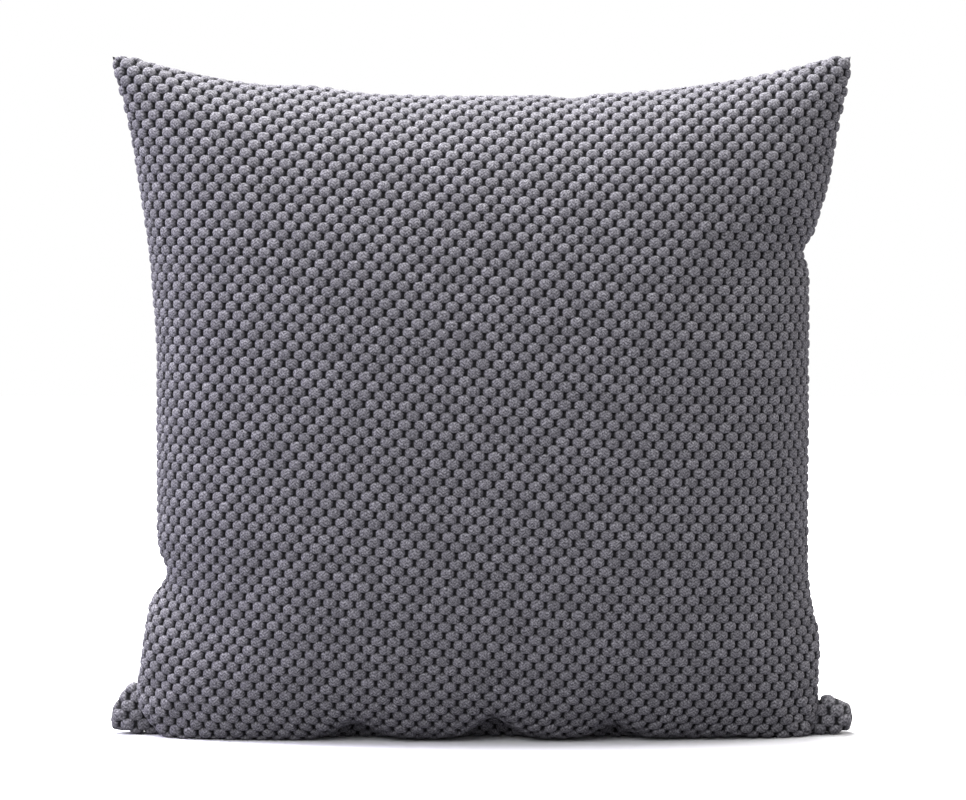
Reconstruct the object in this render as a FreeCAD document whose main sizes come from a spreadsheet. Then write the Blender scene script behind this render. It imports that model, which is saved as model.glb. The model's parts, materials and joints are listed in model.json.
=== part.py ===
import FreeCAD, Part

# Square throw pillow: a bubble-knit cover with a zip in its bottom seam, over a filled insert.
# The pillow stands upright on its bottom edge. Millimetres, +Z up, the front face towards -Y.
# The origin is on the ground under the middle of the bottom seam.
#
# Every layer of the pillow is the same form with a different inset, so the layers nest: the cover's
# outside, the cavity in the cover, the insert, the space in the insert's casing, and the filling.

import math
import os

import Sketcher

# The driving dimensions: alias, value and meaning.
DIMENSIONS = (
    ("half_width", 214.0, "half the width across the waist"),
    ("corner_reach_top", 27.5, "how far a top corner stands out past the waist"),
    ("corner_reach_bottom", 30.0, "how far a bottom corner stands out past the waist"),
    ("side_power_top", 2.2, "how late the side sweeps out towards a top corner"),
    ("side_power_bottom", 6.0, "how late the side sweeps out towards a bottom corner"),
    ("top_edge", 418.0, "height of the top seam at its middle"),
    ("top_corner_rise", 26.0, "how far a top corner stands above the top seam's middle"),
    ("top_power", 2.4, "how late the top seam rises towards a corner"),
    ("bottom_edge", -16.0, "height of the bottom seam's middle before it is pressed flat"),
    ("bottom_corner_rise", 24.0, "how far a bottom corner stands above the seam's middle"),
    ("bottom_power", 4.0, "how late the bottom seam rises towards a corner"),
    ("half_depth", 81.0, "half the thickness at the fullest place"),
    ("fullness_power", 2.6, "how full the pillow is between its middle and its seams"),
    ("cover_thickness", 3.5, "thickness of the bubble knit"),
    ("seam_allowance", 9.0, "width of the overlocked allowance inside a cover seam"),
    ("seam_thickness", 2.5, "thickness of the two overlocked allowances together"),
    ("insert_gap", 1.5, "room between the cover and the insert"),
    ("casing_thickness", 0.8, "thickness of the insert's casing"),
    ("casing_allowance", 6.0, "width of the allowance inside an insert seam"),
    ("casing_seam_thickness", 2.0, "thickness of the two insert allowances together"),
    ("fill_gap", 0.4, "room between the casing and the filling"),
    ("zip_half_length", 168.0, "half the length of the zip's chain"),
    ("groove_margin", 22.5, "how far the groove runs on past each end of the chain"),
    ("groove_half_width", 8.0, "half the width of the groove that the zip lies in"),
    ("groove_height", 6.0, "height of the groove's roof above the ground"),
    ("hem_thickness", 3.0, "thickness of the folded hem that the zip is sewn to"),
    ("slot_half_width", 3.6, "half the gap between the two hems"),
    ("tape_thickness", 0.6, "thickness of a zip tape"),
    ("tape_outer_edge", 12.0, "distance of a tape's outer edge from the zip's middle"),
    ("chain_half_gap", 0.6, "half the gap between the two halves of the chain"),
    ("coil_outer_edge", 2.9, "distance of a coil's outer edge from the zip's middle"),
    ("coil_thickness", 2.6, "height of a coil below its tape"),
    ("coil_rounding", 0.8, "rounding of a coil's outer edges"),
    ("slider_length", 10.0, "length of the slider along the zip"),
    ("slider_half_width", 3.9, "half the width of the slider's outer plate"),
    ("slider_plate", 1.2, "thickness of the slider's plates"),
    ("slider_clearance", 0.3, "room between the slider and what it slides along"),
    ("slider_flange", 0.4, "thickness of the flanges beside the coils"),
    ("neck_half_width", 0.4, "half the width of the neck between the slider's plates"),
    ("neck_length", 3.0, "length of the neck along the zip"),
    ("bridge_length", 6.8, "length of the bridge that holds the pull tab"),
    ("bridge_half_width", 0.8, "half the width of the bridge"),
    ("bridge_bar", 1.0, "thickness of the bridge"),
    ("pivot_radius", 0.5, "radius of the pull tab's crossbar"),
    ("pivot_play", 0.1, "room around the crossbar, above and below"),
    ("pivot_offset", 1.6, "distance of the crossbar from the slider's middle"),
    ("tab_length", 24.0, "length of the pull tab from its crossbar"),
    ("tab_half_width", 3.0, "half the width of the pull tab"),
    ("tab_thickness", 1.0, "thickness of the pull tab"),
    ("tab_rounding", 2.4, "rounding of the pull tab's free corners"),
    ("arm_half_width", 2.2, "half the width across the pull tab's two arms"),
    ("window_length", 5.7, "reach of the window that clears the bridge"),
    ("window_half_width", 1.1, "half the width of that window"),
    ("stop_length", 3.0, "length of a zip stop along the zip"),
    ("stitch_offset", 6.0, "distance of the zip's stitching from its middle"),
    ("thread_width", 0.6, "width of a row of stitching"),
    ("thread_thickness", 0.3, "height of a row of stitching"),
    ("bar_tack_length", 3.0, "length of a bar tack along the zip"),
    ("bar_tack_half_width", 3.0, "half the width of a bar tack"),
    ("seam_margin", 1.0, "how far a top seam's piece reaches below its own allowance"),
    ("corner_seam_height", 30.0, "height at which a side seam meets the bottom seam"),
    ("label_height", 150.0, "height of the cover's care label"),
    ("insert_label_height", 300.0, "height of the insert's care label"),
    ("label_length", 45.0, "length of a care label from its seam"),
    ("label_width", 28.0, "width of a care label"),
    ("label_thickness", 0.4, "thickness of a care label"),
)

ALIASES = {alias for alias, _, _ in DIMENSIONS}
GRID = 24  # spans of the form's surface between its seams, each way
REACH = 400.0  # half the size of a cutting block that is larger than the pillow
TOLERANCE = 1e-6
FRONT = -1  # the front is the -Y side
BACK = 1

document = FreeCAD.newDocument("throw_pillow")
sheet = document.addObject("Spreadsheet::Sheet", "Dimensions")
nodes = []


def fill_sheet():
    """Write each driving dimension to the sheet under its alias."""
    for row, (alias, value, meaning) in enumerate(DIMENSIONS, start=1):
        sheet.set(f"A{row}", alias)
        sheet.set(f"B{row}", str(value))
        sheet.set(f"C{row}", meaning)
        sheet.setAlias(f"B{row}", alias)
    document.recompute()


def in_sheet(text):
    """Give an expression with each alias written as the sheet's cell."""
    words = []
    word = ""
    for letter in text + " ":
        if letter.isalnum() or letter == "_":
            word += letter
            continue
        words.append(f"Dimensions.{word}" if word in ALIASES else word)
        words.append(letter)
        word = ""
    return "".join(words).strip()


def node(thing, label):
    """Name a sub-part after its node and list it for writing."""
    thing.Label = label
    nodes.append(thing)
    return thing


# ---------------------------------------------------------------- the pillow's form


def half_width_at(up, inset):
    """Half the width at a height from -1 (bottom seam) to 1 (top seam)."""
    if up > 0:
        reach = sheet.corner_reach_top * up**sheet.side_power_top
    else:
        reach = sheet.corner_reach_bottom * (-up) ** sheet.side_power_bottom
    return sheet.half_width - inset + reach


def seam_heights(across, inset):
    """Heights of the bottom and top seams at a place from -1 (left) to 1 (right)."""
    bottom = sheet.bottom_edge + inset + sheet.bottom_corner_rise * abs(across) ** sheet.bottom_power
    top = sheet.top_edge - inset + sheet.top_corner_rise * abs(across) ** sheet.top_power
    return bottom, top


def swelling(place):
    """Share of the full depth at a place from -1 to 1 between two seams."""
    return math.sqrt(max(0.0, 1.0 - abs(place) ** sheet.fullness_power))


def form_point(across, up, side, plan_inset, depth_inset):
    """Point of a layer of the pillow on the front (-1) or the back (1)."""
    bottom, top = seam_heights(across, plan_inset)
    depth = (sheet.half_depth - depth_inset) * swelling(across) * swelling(up)
    return FreeCAD.Vector(
        across * half_width_at(up, plan_inset),
        side * depth,
        bottom + (top - bottom) * (up + 1.0) / 2.0,
    )


def form_face(side, plan_inset, depth_inset):
    """One side of a layer, with its points closer together towards the seams."""
    places = [math.sin(math.pi * (i / GRID - 0.5)) for i in range(GRID + 1)]
    places[0] = -1.0
    places[-1] = 1.0
    rows = [
        [form_point(across, up, side, plan_inset, depth_inset) for across in places] for up in places
    ]
    surface = Part.BSplineSurface()
    surface.interpolate(rows)
    return surface.toShape()


def form(name, plan_inset, depth_inset):
    """Closed solid of a layer, inset from the cover's outside by these distances."""
    faces = [form_face(side, plan_inset, depth_inset) for side in (FRONT, BACK)]
    shell = Part.makeShell(faces)
    shell.sewShape()
    solid = Part.makeSolid(shell)
    if solid.Volume < 0:
        solid.reverse()
    thing = document.addObject("Part::Feature", name)
    thing.Shape = solid
    thing.Placement = FreeCAD.Placement()
    return thing


# ---------------------------------------------------------------- blocks and booleans


def block(name, along, deep, high):
    """Block between pairs of expressions along X, Y and Z."""
    thing = document.addObject("Part::Box", name)
    for size, axis, (low, top) in zip(
        ("Length", "Width", "Height"), ("x", "y", "z"), (along, deep, high)
    ):
        thing.setExpression(size, in_sheet(f"({top}) - ({low})"))
        thing.setExpression(f"Placement.Base.{axis}", in_sheet(low))
    return thing


def boolean(kind, name, base, tool):
    """Cut or Common of two objects."""
    thing = document.addObject(f"Part::{kind}", name)
    thing.Base = base
    thing.Tool = tool
    return thing


def cut(name, base, *tools):
    """Base less each of the tools."""
    for count, tool in enumerate(tools):
        base = boolean("Cut", f"{name}_cut{count}", base, tool)
    return base


def common(name, base, tool):
    """What two objects share."""
    return boolean("Common", name, base, tool)


def mirrored(low, top, side):
    """Pair of expressions along Y on the front or the back, low < top being the back's."""
    return (low, top) if side == BACK else (f"-({top})", f"-({low})")


def raised_floor(name, margin, half_width, height):
    """Block over the zip that raises the floor of a layer."""
    length = f"zip_half_length + groove_margin + {margin}"
    return block(
        name, (f"-({length})", length), (f"-({half_width})", half_width), (f"-{REACH}", height)
    )


def layer(name, plan_inset, depth_inset, floor, over_zip):
    """A nested form, pressed flat at a floor's height and hollowed over the zip.

    The insets are numbers, floor is an expression and over_zip is the block over the zip.
    """
    whole = form(f"{name}_form", plan_inset, depth_inset)
    ground = block(
        f"{name}_ground", (f"-{REACH}", f"{REACH}"), (f"-{REACH}", f"{REACH}"), (f"-{REACH}", floor)
    )
    tools = [ground] if over_zip is None else [ground, over_zip]
    return cut(name, whole, *tools)


# ---------------------------------------------------------------- the layers


def make_layers():
    """The cover's outside, its cavity, the insert, the casing's space and the filling."""
    cover = sheet.cover_thickness
    insert_plan = cover + sheet.seam_allowance
    insert_depth = cover + sheet.insert_gap
    casing_plan = insert_plan + sheet.casing_thickness
    casing_depth = insert_depth + sheet.casing_thickness
    fill_plan = casing_plan + sheet.casing_allowance
    fill_depth = casing_depth + sheet.fill_gap

    hem_top = "groove_height + hem_thickness"
    hem_edge = "groove_half_width + hem_thickness"
    slider_top = f"{hem_top} + tape_thickness + slider_clearance + slider_plate"
    insert_floor = f"{slider_top} + slider_clearance"
    return {
        "outside": layer("outside", 0.0, 0.0, "0", None),
        "cavity": layer(
            "cavity",
            cover,
            cover,
            "cover_thickness",
            raised_floor("hem_block", "hem_thickness", hem_edge, hem_top),
        ),
        "insert": layer(
            "insert",
            insert_plan,
            insert_depth,
            "cover_thickness + insert_gap",
            raised_floor(
                "zip_block", "2 * hem_thickness", "tape_outer_edge + insert_gap", insert_floor
            ),
        ),
        "casing_space": layer(
            "casing_space",
            casing_plan,
            casing_depth,
            "cover_thickness + insert_gap + casing_thickness",
            raised_floor(
                "casing_block",
                "2 * hem_thickness + casing_thickness",
                "tape_outer_edge + insert_gap + casing_thickness",
                f"{insert_floor} + casing_thickness",
            ),
        ),
        "filling": layer(
            "filling",
            fill_plan,
            fill_depth,
            "cover_thickness + insert_gap + casing_thickness + fill_gap",
            raised_floor(
                "filling_block",
                "2 * hem_thickness + casing_thickness + fill_gap",
                "tape_outer_edge + insert_gap + casing_thickness + fill_gap",
                f"{insert_floor} + casing_thickness + casing_allowance",
            ),
        ),
    }


def side_space(name, side):
    """Everything on the front or the back of the seam plane."""
    return block(
        name, (f"-{REACH}", f"{REACH}"), mirrored("0", f"{REACH}", side), (f"-{REACH}", f"{2 * REACH}")
    )


def make_shells(layers):
    """The two panels of the cover and the two of the insert's casing."""
    groove_length = "zip_half_length + groove_margin"
    groove = block(
        "groove",
        (f"-({groove_length})", groove_length),
        ("-groove_half_width", "groove_half_width"),
        (f"-{REACH}", "groove_height"),
    )
    slot_length = "zip_half_length + stop_length"
    slot = block(
        "slot",
        (f"-({slot_length})", slot_length),
        ("-slot_half_width", "slot_half_width"),
        (f"-{REACH}", "groove_height + hem_thickness"),
    )
    cover = cut("cover", layers["outside"], layers["cavity"], groove, slot)
    casing = cut("casing", layers["insert"], layers["casing_space"])
    for side, word in ((FRONT, "front"), (BACK, "back")):
        half = side_space(f"{word}_space", side)
        node(common(f"cover_{word}", cover, half), f"cover_{word}_panel")
        node(common(f"casing_{word}", casing, half), f"insert_casing_{word}")
    node(layers["filling"], "insert_fill")


# ---------------------------------------------------------------- the seams


def seam_ring(name, outer, inner, half_thickness):
    """Allowance between two layers, in the plane of the seams."""
    slab = block(
        f"{name}_slab",
        (f"-{REACH}", f"{REACH}"),
        (f"-{half_thickness}", half_thickness),
        (f"-{REACH}", f"{2 * REACH}"),
    )
    return cut(name, common(f"{name}_band", outer, slab), inner)


def piece_of(ring, label, across, high):
    """The part of a ring inside a block, as a node."""
    window = block(f"{label}_window", across, (f"-{REACH}", f"{REACH}"), high)
    node(common(f"{label}_piece", ring, window), label)


def make_cover_seams(layers):
    """The overlocked seams of the cover: three closed sides, and the bottom beside the zip."""
    ring = seam_ring("cover_ring", layers["cavity"], layers["insert"], "seam_thickness / 2")
    beside_zip = "zip_half_length + groove_margin + 2 * hem_thickness"
    zip_room = block(
        "zip_room",
        (f"-({beside_zip})", beside_zip),
        (f"-{REACH}", f"{REACH}"),
        (f"-{REACH}", "corner_seam_height"),
    )
    ring = cut("cover_ring_open", ring, zip_room)
    top_seam = "top_edge - cover_thickness - seam_allowance - seam_margin"
    above = (top_seam, f"{2 * REACH}")
    between = ("corner_seam_height", top_seam)
    below = (f"-{REACH}", "corner_seam_height")
    left = (f"-{REACH}", "0")
    right = ("0", f"{REACH}")
    piece_of(ring, "cover_seam_top", (f"-{REACH}", f"{REACH}"), above)
    piece_of(ring, "cover_seam_left", left, between)
    piece_of(ring, "cover_seam_right", right, between)
    piece_of(ring, "cover_seam_bottom_left", left, below)
    piece_of(ring, "cover_seam_bottom_right", right, below)


def make_insert_seams(layers):
    """The seams of the insert's casing. The top one is closed last, after the filling is in."""
    ring = seam_ring(
        "insert_ring", layers["casing_space"], layers["filling"], "casing_seam_thickness / 2"
    )
    inset = "cover_thickness + seam_allowance + casing_thickness + casing_allowance"
    top_seam = f"top_edge - ({inset}) - seam_margin"
    between = ("corner_seam_height", top_seam)
    everywhere = (f"-{REACH}", f"{REACH}")
    piece_of(ring, "insert_closing_seam", everywhere, (top_seam, f"{2 * REACH}"))
    piece_of(ring, "insert_seam_left", (f"-{REACH}", "0"), between)
    piece_of(ring, "insert_seam_right", ("0", f"{REACH}"), between)
    piece_of(ring, "insert_seam_bottom", everywhere, (f"-{REACH}", "corner_seam_height"))


def make_labels():
    """The care labels: the cover's hangs in from its left seam, the insert's from its right one."""
    depth = sheet.cover_thickness + (sheet.insert_gap - sheet.label_thickness) / 2.0
    plan = sheet.cover_thickness + sheet.seam_allowance / 2.0
    thickness = sheet.label_thickness
    skin = cut(
        "label_skin",
        form("label_outer", plan, depth),
        form("label_inner", plan + thickness, depth + thickness),
    )
    root = "half_width - cover_thickness - seam_allowance / 2"
    deep = ("seam_thickness", f"{REACH}")
    for label, across, height in (
        ("cover_care_label", (f"-({root})", f"label_length - ({root})"), "label_height"),
        ("insert_care_label", (f"{root} - label_length", root), "insert_label_height"),
    ):
        window = block(f"{label}_window", across, deep, (height, f"{height} + label_width"))
        node(common(f"{label}_piece", skin, window), label)


# ---------------------------------------------------------------- the zip


def body(label, **place):
    """PartDesign body for a node, placed by expressions along X, Y or Z."""
    thing = document.addObject("PartDesign::Body", f"{label}_body")
    for axis, text in place.items():
        thing.setExpression(f"Placement.Base.{axis}", in_sheet(text))
    return node(thing, label)


def sketch(owner, name, role):
    """Empty sketch on one of a body's own origin planes."""
    thing = owner.newObject("Sketcher::SketchObject", name)
    plane = next(item for item in owner.Origin.OriginFeatures if item.Role == role)
    thing.AttachmentSupport = [(plane, "")]
    thing.MapMode = "FlatFace"
    return thing


def outline(drawing, corners):
    """Closed outline through corners, each a pair of expressions that drives its coordinates."""
    first = drawing.GeometryCount
    places = [
        FreeCAD.Vector(*(drawing.evalExpression(in_sheet(text)) for text in corner), 0.0)
        for corner in corners
    ]
    count = len(places)
    for i, place in enumerate(places):
        drawing.addGeometry(Part.LineSegment(place, places[(i + 1) % count]), False)
    for i, (corner, place) in enumerate(zip(corners, places)):
        line = first + i
        after = first + (i + 1) % count
        drawing.addConstraint(Sketcher.Constraint("Coincident", line, 2, after, 1))
        for kind, text, value in zip(("DistanceX", "DistanceY"), corner, place):
            number = drawing.addConstraint(Sketcher.Constraint(kind, -1, 1, line, 1, value))
            drawing.setExpression(f"Constraints[{number}]", in_sheet(text))


def circle(drawing, radius):
    """Circle round the sketch's origin with its radius driven by an expression."""
    value = drawing.evalExpression(in_sheet(radius))
    round_edge = Part.Circle(FreeCAD.Vector(), FreeCAD.Vector(0, 0, 1), value)
    number = drawing.addGeometry(round_edge, False)
    drawing.addConstraint(Sketcher.Constraint("Coincident", number, 3, -1, 1))
    size = drawing.addConstraint(Sketcher.Constraint("Radius", number, value))
    drawing.setExpression(f"Constraints[{size}]", in_sheet(radius))


def pad(owner, name, drawing, length):
    """Pad of a sketch, half of its length to each side of the sketch's plane."""
    thing = owner.newObject("PartDesign::Pad", name)
    thing.Profile = drawing
    thing.SideType = "Symmetric"
    thing.setExpression("Length", in_sheet(length))
    document.recompute()
    return thing


def fillet(owner, name, base, radius, wanted):
    """Fillet on the edges whose middle passes a test."""
    edges = [
        f"Edge{count}"
        for count, edge in enumerate(base.Shape.Edges, start=1)
        if wanted(edge.valueAt((edge.FirstParameter + edge.LastParameter) / 2.0))
    ]
    thing = owner.newObject("PartDesign::Fillet", name)
    thing.Base = (base, edges)
    thing.setExpression("Radius", in_sheet(radius))
    document.recompute()
    return thing


HEM_TOP = "(groove_height + hem_thickness)"
TAPE_TOP = f"({HEM_TOP} + tape_thickness)"
PLATE_TOP = "(groove_height - slider_clearance)"
PLATE_FLOOR = f"({PLATE_TOP} - slider_plate)"
PIVOT_HEIGHT = f"({PLATE_FLOOR} - pivot_play - pivot_radius)"
SLIDER_PLACE = "(zip_half_length - slider_length / 2 - slider_clearance)"


def rectangle(low, top):
    """Corners of a rectangle between two corners."""
    return [low, (top[0], low[1]), top, (low[0], top[1])]


def make_tapes_and_coils():
    """The two halves of the zip, each a woven tape with a coil along its inner edge."""
    tape_length = "zip_half_length + groove_margin"
    for side, word in ((FRONT, "front"), (BACK, "back")):
        tape = block(
            f"tape_{word}",
            (f"-({tape_length})", tape_length),
            mirrored("chain_half_gap", "tape_outer_edge", side),
            (HEM_TOP, TAPE_TOP),
        )
        node(tape, f"zip_tape_{word}")

        coil = body(f"zip_coil_{word}")
        profile = sketch(coil, f"coil_profile_{word}", "YZ_Plane")
        inner, outer = mirrored("chain_half_gap", "coil_outer_edge", side)
        outline(profile, rectangle((inner, f"{HEM_TOP} - coil_thickness"), (outer, HEM_TOP)))
        bar = pad(coil, f"coil_bar_{word}", profile, "2 * zip_half_length")
        floor = bar.Shape.BoundBox.ZMin
        fillet(
            coil,
            f"coil_round_{word}",
            bar,
            "coil_rounding",
            lambda place, floor=floor: place.z < floor + TOLERANCE and abs(place.x) < TOLERANCE,
        )


def make_zip_ends():
    """The stops that end the slider's travel and the bar tacks that close the slot."""
    stop = "zip_half_length + stop_length"
    under_tape = (f"{HEM_TOP} - coil_thickness", HEM_TOP)
    top_stops = document.addObject("Part::Compound", "top_stops")
    top_stops.Links = [
        block(
            f"top_stop_{word}",
            ("zip_half_length", stop),
            mirrored("chain_half_gap", "coil_outer_edge + slider_flange / 2", side),
            under_tape,
        )
        for side, word in ((FRONT, "front"), (BACK, "back"))
    ]
    node(top_stops, "zip_top_stops")
    outer = "coil_outer_edge + slider_flange / 2"
    bottom_stop = block(
        "bottom_stop", (f"-({stop})", "-zip_half_length"), (f"-({outer})", outer), under_tape
    )
    node(bottom_stop, "zip_bottom_stop")

    tacks = document.addObject("Part::Compound", "tacks")
    far = f"({stop} + bar_tack_length)"
    above_tape = (TAPE_TOP, f"{TAPE_TOP} + thread_thickness")
    across = ("-bar_tack_half_width", "bar_tack_half_width")
    tacks.Links = [
        block("tack_right", (stop, far), across, above_tape),
        block("tack_left", (f"-{far}", f"-({stop})"), across, above_tape),
    ]
    node(tacks, "zip_bar_tacks")


def make_zip_stitching():
    """The row of stitching that holds each tape to its hem."""
    for side, word in ((FRONT, "front"), (BACK, "back")):
        row = block(
            f"stitching_{word}",
            ("-zip_half_length", "zip_half_length"),
            mirrored("stitch_offset", "stitch_offset + thread_width", side),
            (TAPE_TOP, f"{TAPE_TOP} + thread_thickness"),
        )
        node(row, f"zip_stitching_{word}")


def make_slider():
    """The slider: an outer plate with flanges, a neck, an inner plate, and the tab's bridge."""
    slider = body("zip_slider", x=SLIDER_PLACE)
    play = "(slot_half_width - coil_outer_edge - slider_flange) / 2"
    flange_in = f"(coil_outer_edge + {play})"
    flange_out = f"({flange_in} + slider_flange)"
    flange_top = f"({HEM_TOP} - slider_clearance)"

    channel = sketch(slider, "slider_channel", "YZ_Plane")
    half = [
        ("slider_half_width", PLATE_FLOOR),
        ("slider_half_width", PLATE_TOP),
        (flange_out, PLATE_TOP),
        (flange_out, flange_top),
        (flange_in, flange_top),
        (flange_in, PLATE_TOP),
    ]
    outline(channel, half + [(f"-{across}", up) for across, up in reversed(half)])
    pad(slider, "slider_outer_plate", channel, "slider_length")

    inner_floor = f"({TAPE_TOP} + slider_clearance)"
    neck = sketch(slider, "slider_neck_side", "XZ_Plane")
    nose = "(slider_length / 2)"
    outline(neck, rectangle((f"{nose} - neck_length", PLATE_TOP), (nose, inner_floor)))
    pad(slider, "slider_neck", neck, "2 * neck_half_width")

    inner = sketch(slider, "slider_inner_side", "XZ_Plane")
    outline(inner, rectangle((f"-{nose}", inner_floor), (nose, f"{inner_floor} + slider_plate")))
    pad(slider, "slider_inner_plate", inner, "2 * slider_half_width")

    bridge = sketch(slider, "slider_bridge_side", "XZ_Plane")
    bridge_end = "(bridge_length / 2)"
    window_end = f"({bridge_end} - bridge_bar)"
    window_floor = f"({PIVOT_HEIGHT} - pivot_radius - pivot_play)"
    outline(
        bridge,
        [
            (f"-{bridge_end}", PLATE_FLOOR),
            (f"-{bridge_end}", f"{window_floor} - bridge_bar"),
            (bridge_end, f"{window_floor} - bridge_bar"),
            (bridge_end, PLATE_FLOOR),
            (window_end, PLATE_FLOOR),
            (window_end, window_floor),
            (f"-{window_end}", window_floor),
            (f"-{window_end}", PLATE_FLOOR),
        ],
    )
    pad(slider, "slider_bridge", bridge, "2 * bridge_half_width")


def make_pull_tab():
    """The pull tab: a crossbar under the bridge, two arms beside it and the flat tab."""
    pull = body("zip_pull_tab", x=f"{SLIDER_PLACE} - pivot_offset", z=PIVOT_HEIGHT)
    plate = sketch(pull, "tab_plate", "XY_Plane")
    half = [
        ("-tab_length", "tab_half_width"),
        ("-window_length - 2 * pivot_radius", "tab_half_width"),
        ("-window_length", "arm_half_width"),
        ("0", "arm_half_width"),
    ]
    notch = [("0", "window_half_width"), ("-window_length", "window_half_width")]
    side = half + notch
    outline(plate, side + [(along, f"-{across}") for along, across in reversed(side)])
    flat = pad(pull, "tab_flat", plate, "tab_thickness")
    reach = flat.Shape.BoundBox.XMin
    fillet(
        pull,
        "tab_round",
        flat,
        "tab_rounding",
        lambda place: place.x < reach + TOLERANCE and abs(place.z) < TOLERANCE,
    )
    crossbar = sketch(pull, "tab_crossbar_end", "XZ_Plane")
    circle(crossbar, "pivot_radius")
    pad(pull, "tab_crossbar", crossbar, "2 * arm_half_width")


# ---------------------------------------------------------------- checking and writing


def check_and_write():
    """Write every node's shape, once each object and each shape has been found sound."""
    failed = [
        thing.Name for thing in document.Objects if {"Invalid", "Error"} & set(thing.State)
    ]
    if failed:
        raise RuntimeError(f"failed objects: {failed}")
    for thing in nodes:
        if thing.Shape.isNull() or not thing.Shape.isValid():
            raise RuntimeError(f"{thing.Label} has no sound shape")
    os.makedirs("parts", exist_ok=True)
    for thing in nodes:
        thing.Shape.exportStep(f"parts/{thing.Label}.step")
        print(f"{thing.Label}: {len(thing.Shape.Solids)} solid(s), {thing.Shape.Volume:.1f} mm3")


def main():
    """Build the pillow, check each sub-part and write it."""
    fill_sheet()
    layers = make_layers()
    make_shells(layers)
    make_cover_seams(layers)
    make_insert_seams(layers)
    make_labels()
    make_tapes_and_coils()
    make_zip_ends()
    make_zip_stitching()
    make_slider()
    make_pull_tab()
    document.recompute()
    check_and_write()


main()
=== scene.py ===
"""Looks of a square throw pillow: a bubble-knit cover with a zip in its bottom seam, over an insert.

The fabric is worked out in millimetres on a flat square cut, carried onto the filled pillow's form,
settled by a cloth simulation and then knitted: every bubble of the knit is real geometry.
"""

from __future__ import annotations

import json
import logging
import math
from dataclasses import dataclass, field
from enum import Enum

import bpy
import numpy as np
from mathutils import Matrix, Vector

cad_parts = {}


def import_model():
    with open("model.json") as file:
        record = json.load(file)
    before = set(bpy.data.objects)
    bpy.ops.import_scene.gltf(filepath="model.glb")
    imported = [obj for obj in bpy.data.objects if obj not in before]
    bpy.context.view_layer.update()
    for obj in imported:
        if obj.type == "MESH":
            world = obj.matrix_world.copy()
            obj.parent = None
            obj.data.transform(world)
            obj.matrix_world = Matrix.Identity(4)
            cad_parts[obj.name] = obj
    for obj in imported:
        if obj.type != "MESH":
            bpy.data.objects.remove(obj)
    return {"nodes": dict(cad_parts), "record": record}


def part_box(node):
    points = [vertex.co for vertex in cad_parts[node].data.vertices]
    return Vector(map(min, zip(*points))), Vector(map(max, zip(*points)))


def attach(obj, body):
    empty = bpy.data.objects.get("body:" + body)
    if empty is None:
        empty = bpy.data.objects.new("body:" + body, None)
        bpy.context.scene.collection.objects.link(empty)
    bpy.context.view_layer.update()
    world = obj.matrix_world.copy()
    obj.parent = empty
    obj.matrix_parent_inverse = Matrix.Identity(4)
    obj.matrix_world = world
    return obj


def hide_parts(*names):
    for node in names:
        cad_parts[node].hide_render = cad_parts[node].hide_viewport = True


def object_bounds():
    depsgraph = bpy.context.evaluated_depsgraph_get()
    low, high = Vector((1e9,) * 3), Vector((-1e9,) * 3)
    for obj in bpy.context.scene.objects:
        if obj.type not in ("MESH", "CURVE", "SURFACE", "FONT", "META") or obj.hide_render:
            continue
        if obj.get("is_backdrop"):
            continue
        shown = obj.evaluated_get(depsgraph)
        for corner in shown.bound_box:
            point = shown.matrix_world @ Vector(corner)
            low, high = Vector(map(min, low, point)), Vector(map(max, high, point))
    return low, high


LOG = logging.getLogger("throw_pillow")
MM = 0.001
SEED = 20


class Side(Enum):
    """The two sides of the pillow, by the sign of their Y."""

    FRONT = -1
    BACK = 1


class Edge(Enum):
    """The four sewn edges of a square panel."""

    LEFT = "left"
    RIGHT = "right"
    TOP = "top"
    BOTTOM = "bottom"


# ------------------------------------------------------------------------------------ small tools


def linear(code: str) -> tuple[float, float, float, float]:
    """Turn an sRGB hex colour into the linear one that shaders take.

    Args:
        code: The colour as six hex digits.

    Returns:
        Linear red, green and blue, and an alpha of one.
    """
    channels = []
    for place in (0, 2, 4):
        value = int(code[place : place + 2], 16) / 255.0
        channels.append(value / 12.92 if value <= 0.04045 else ((value + 0.055) / 1.055) ** 2.4)
    return (*channels, 1.0)


def add_node(tree: bpy.types.NodeTree, kind: str, links: dict | None = None, **settings: object):
    """Add a shader node with its settings and links.

    Args:
        tree: The node tree that the node goes in.
        kind: The node's type name.
        links: Input names or numbers, each with a socket to link or a value to set.
        **settings: Properties of the node itself.

    Returns:
        The new node.
    """
    node = tree.nodes.new(kind)
    for name, value in settings.items():
        setattr(node, name, value)
    for name, value in (links or {}).items():
        socket = node.inputs[name]
        if isinstance(value, bpy.types.NodeSocket):
            tree.links.new(value, socket)
        else:
            socket.default_value = value
    return node


def compute(tree: bpy.types.NodeTree, operation: str, *values: object) -> bpy.types.NodeSocket:
    """Add a math node that works on sockets or numbers, and give its result."""
    return add_node(tree, "ShaderNodeMath", dict(enumerate(values)), operation=operation).outputs[0]


def ranged(
    tree: bpy.types.NodeTree,
    value: bpy.types.NodeSocket,
    old: tuple[float, float],
    new: tuple[float, float],
    shape: str = "LINEAR",
) -> bpy.types.NodeSocket:
    """Carry a value from one range to another.

    Args:
        tree: The material's node tree.
        value: The value.
        old: The range that it comes from.
        new: The range that it goes to.
        shape: The interpolation between the ends.

    Returns:
        The new value's socket.
    """
    names = ("Value", "From Min", "From Max", "To Min", "To Max")
    links = dict(zip(names, (value, *old, *new)))
    return add_node(tree, "ShaderNodeMapRange", links, interpolation_type=shape).outputs["Result"]


def shaded(tree: bpy.types.NodeTree, colour: object, level: object) -> bpy.types.NodeSocket:
    """Darken or lighten a colour by a level."""
    links = {0: colour, "Scale": level}
    return add_node(tree, "ShaderNodeVectorMath", links, operation="SCALE").outputs["Vector"]


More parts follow.
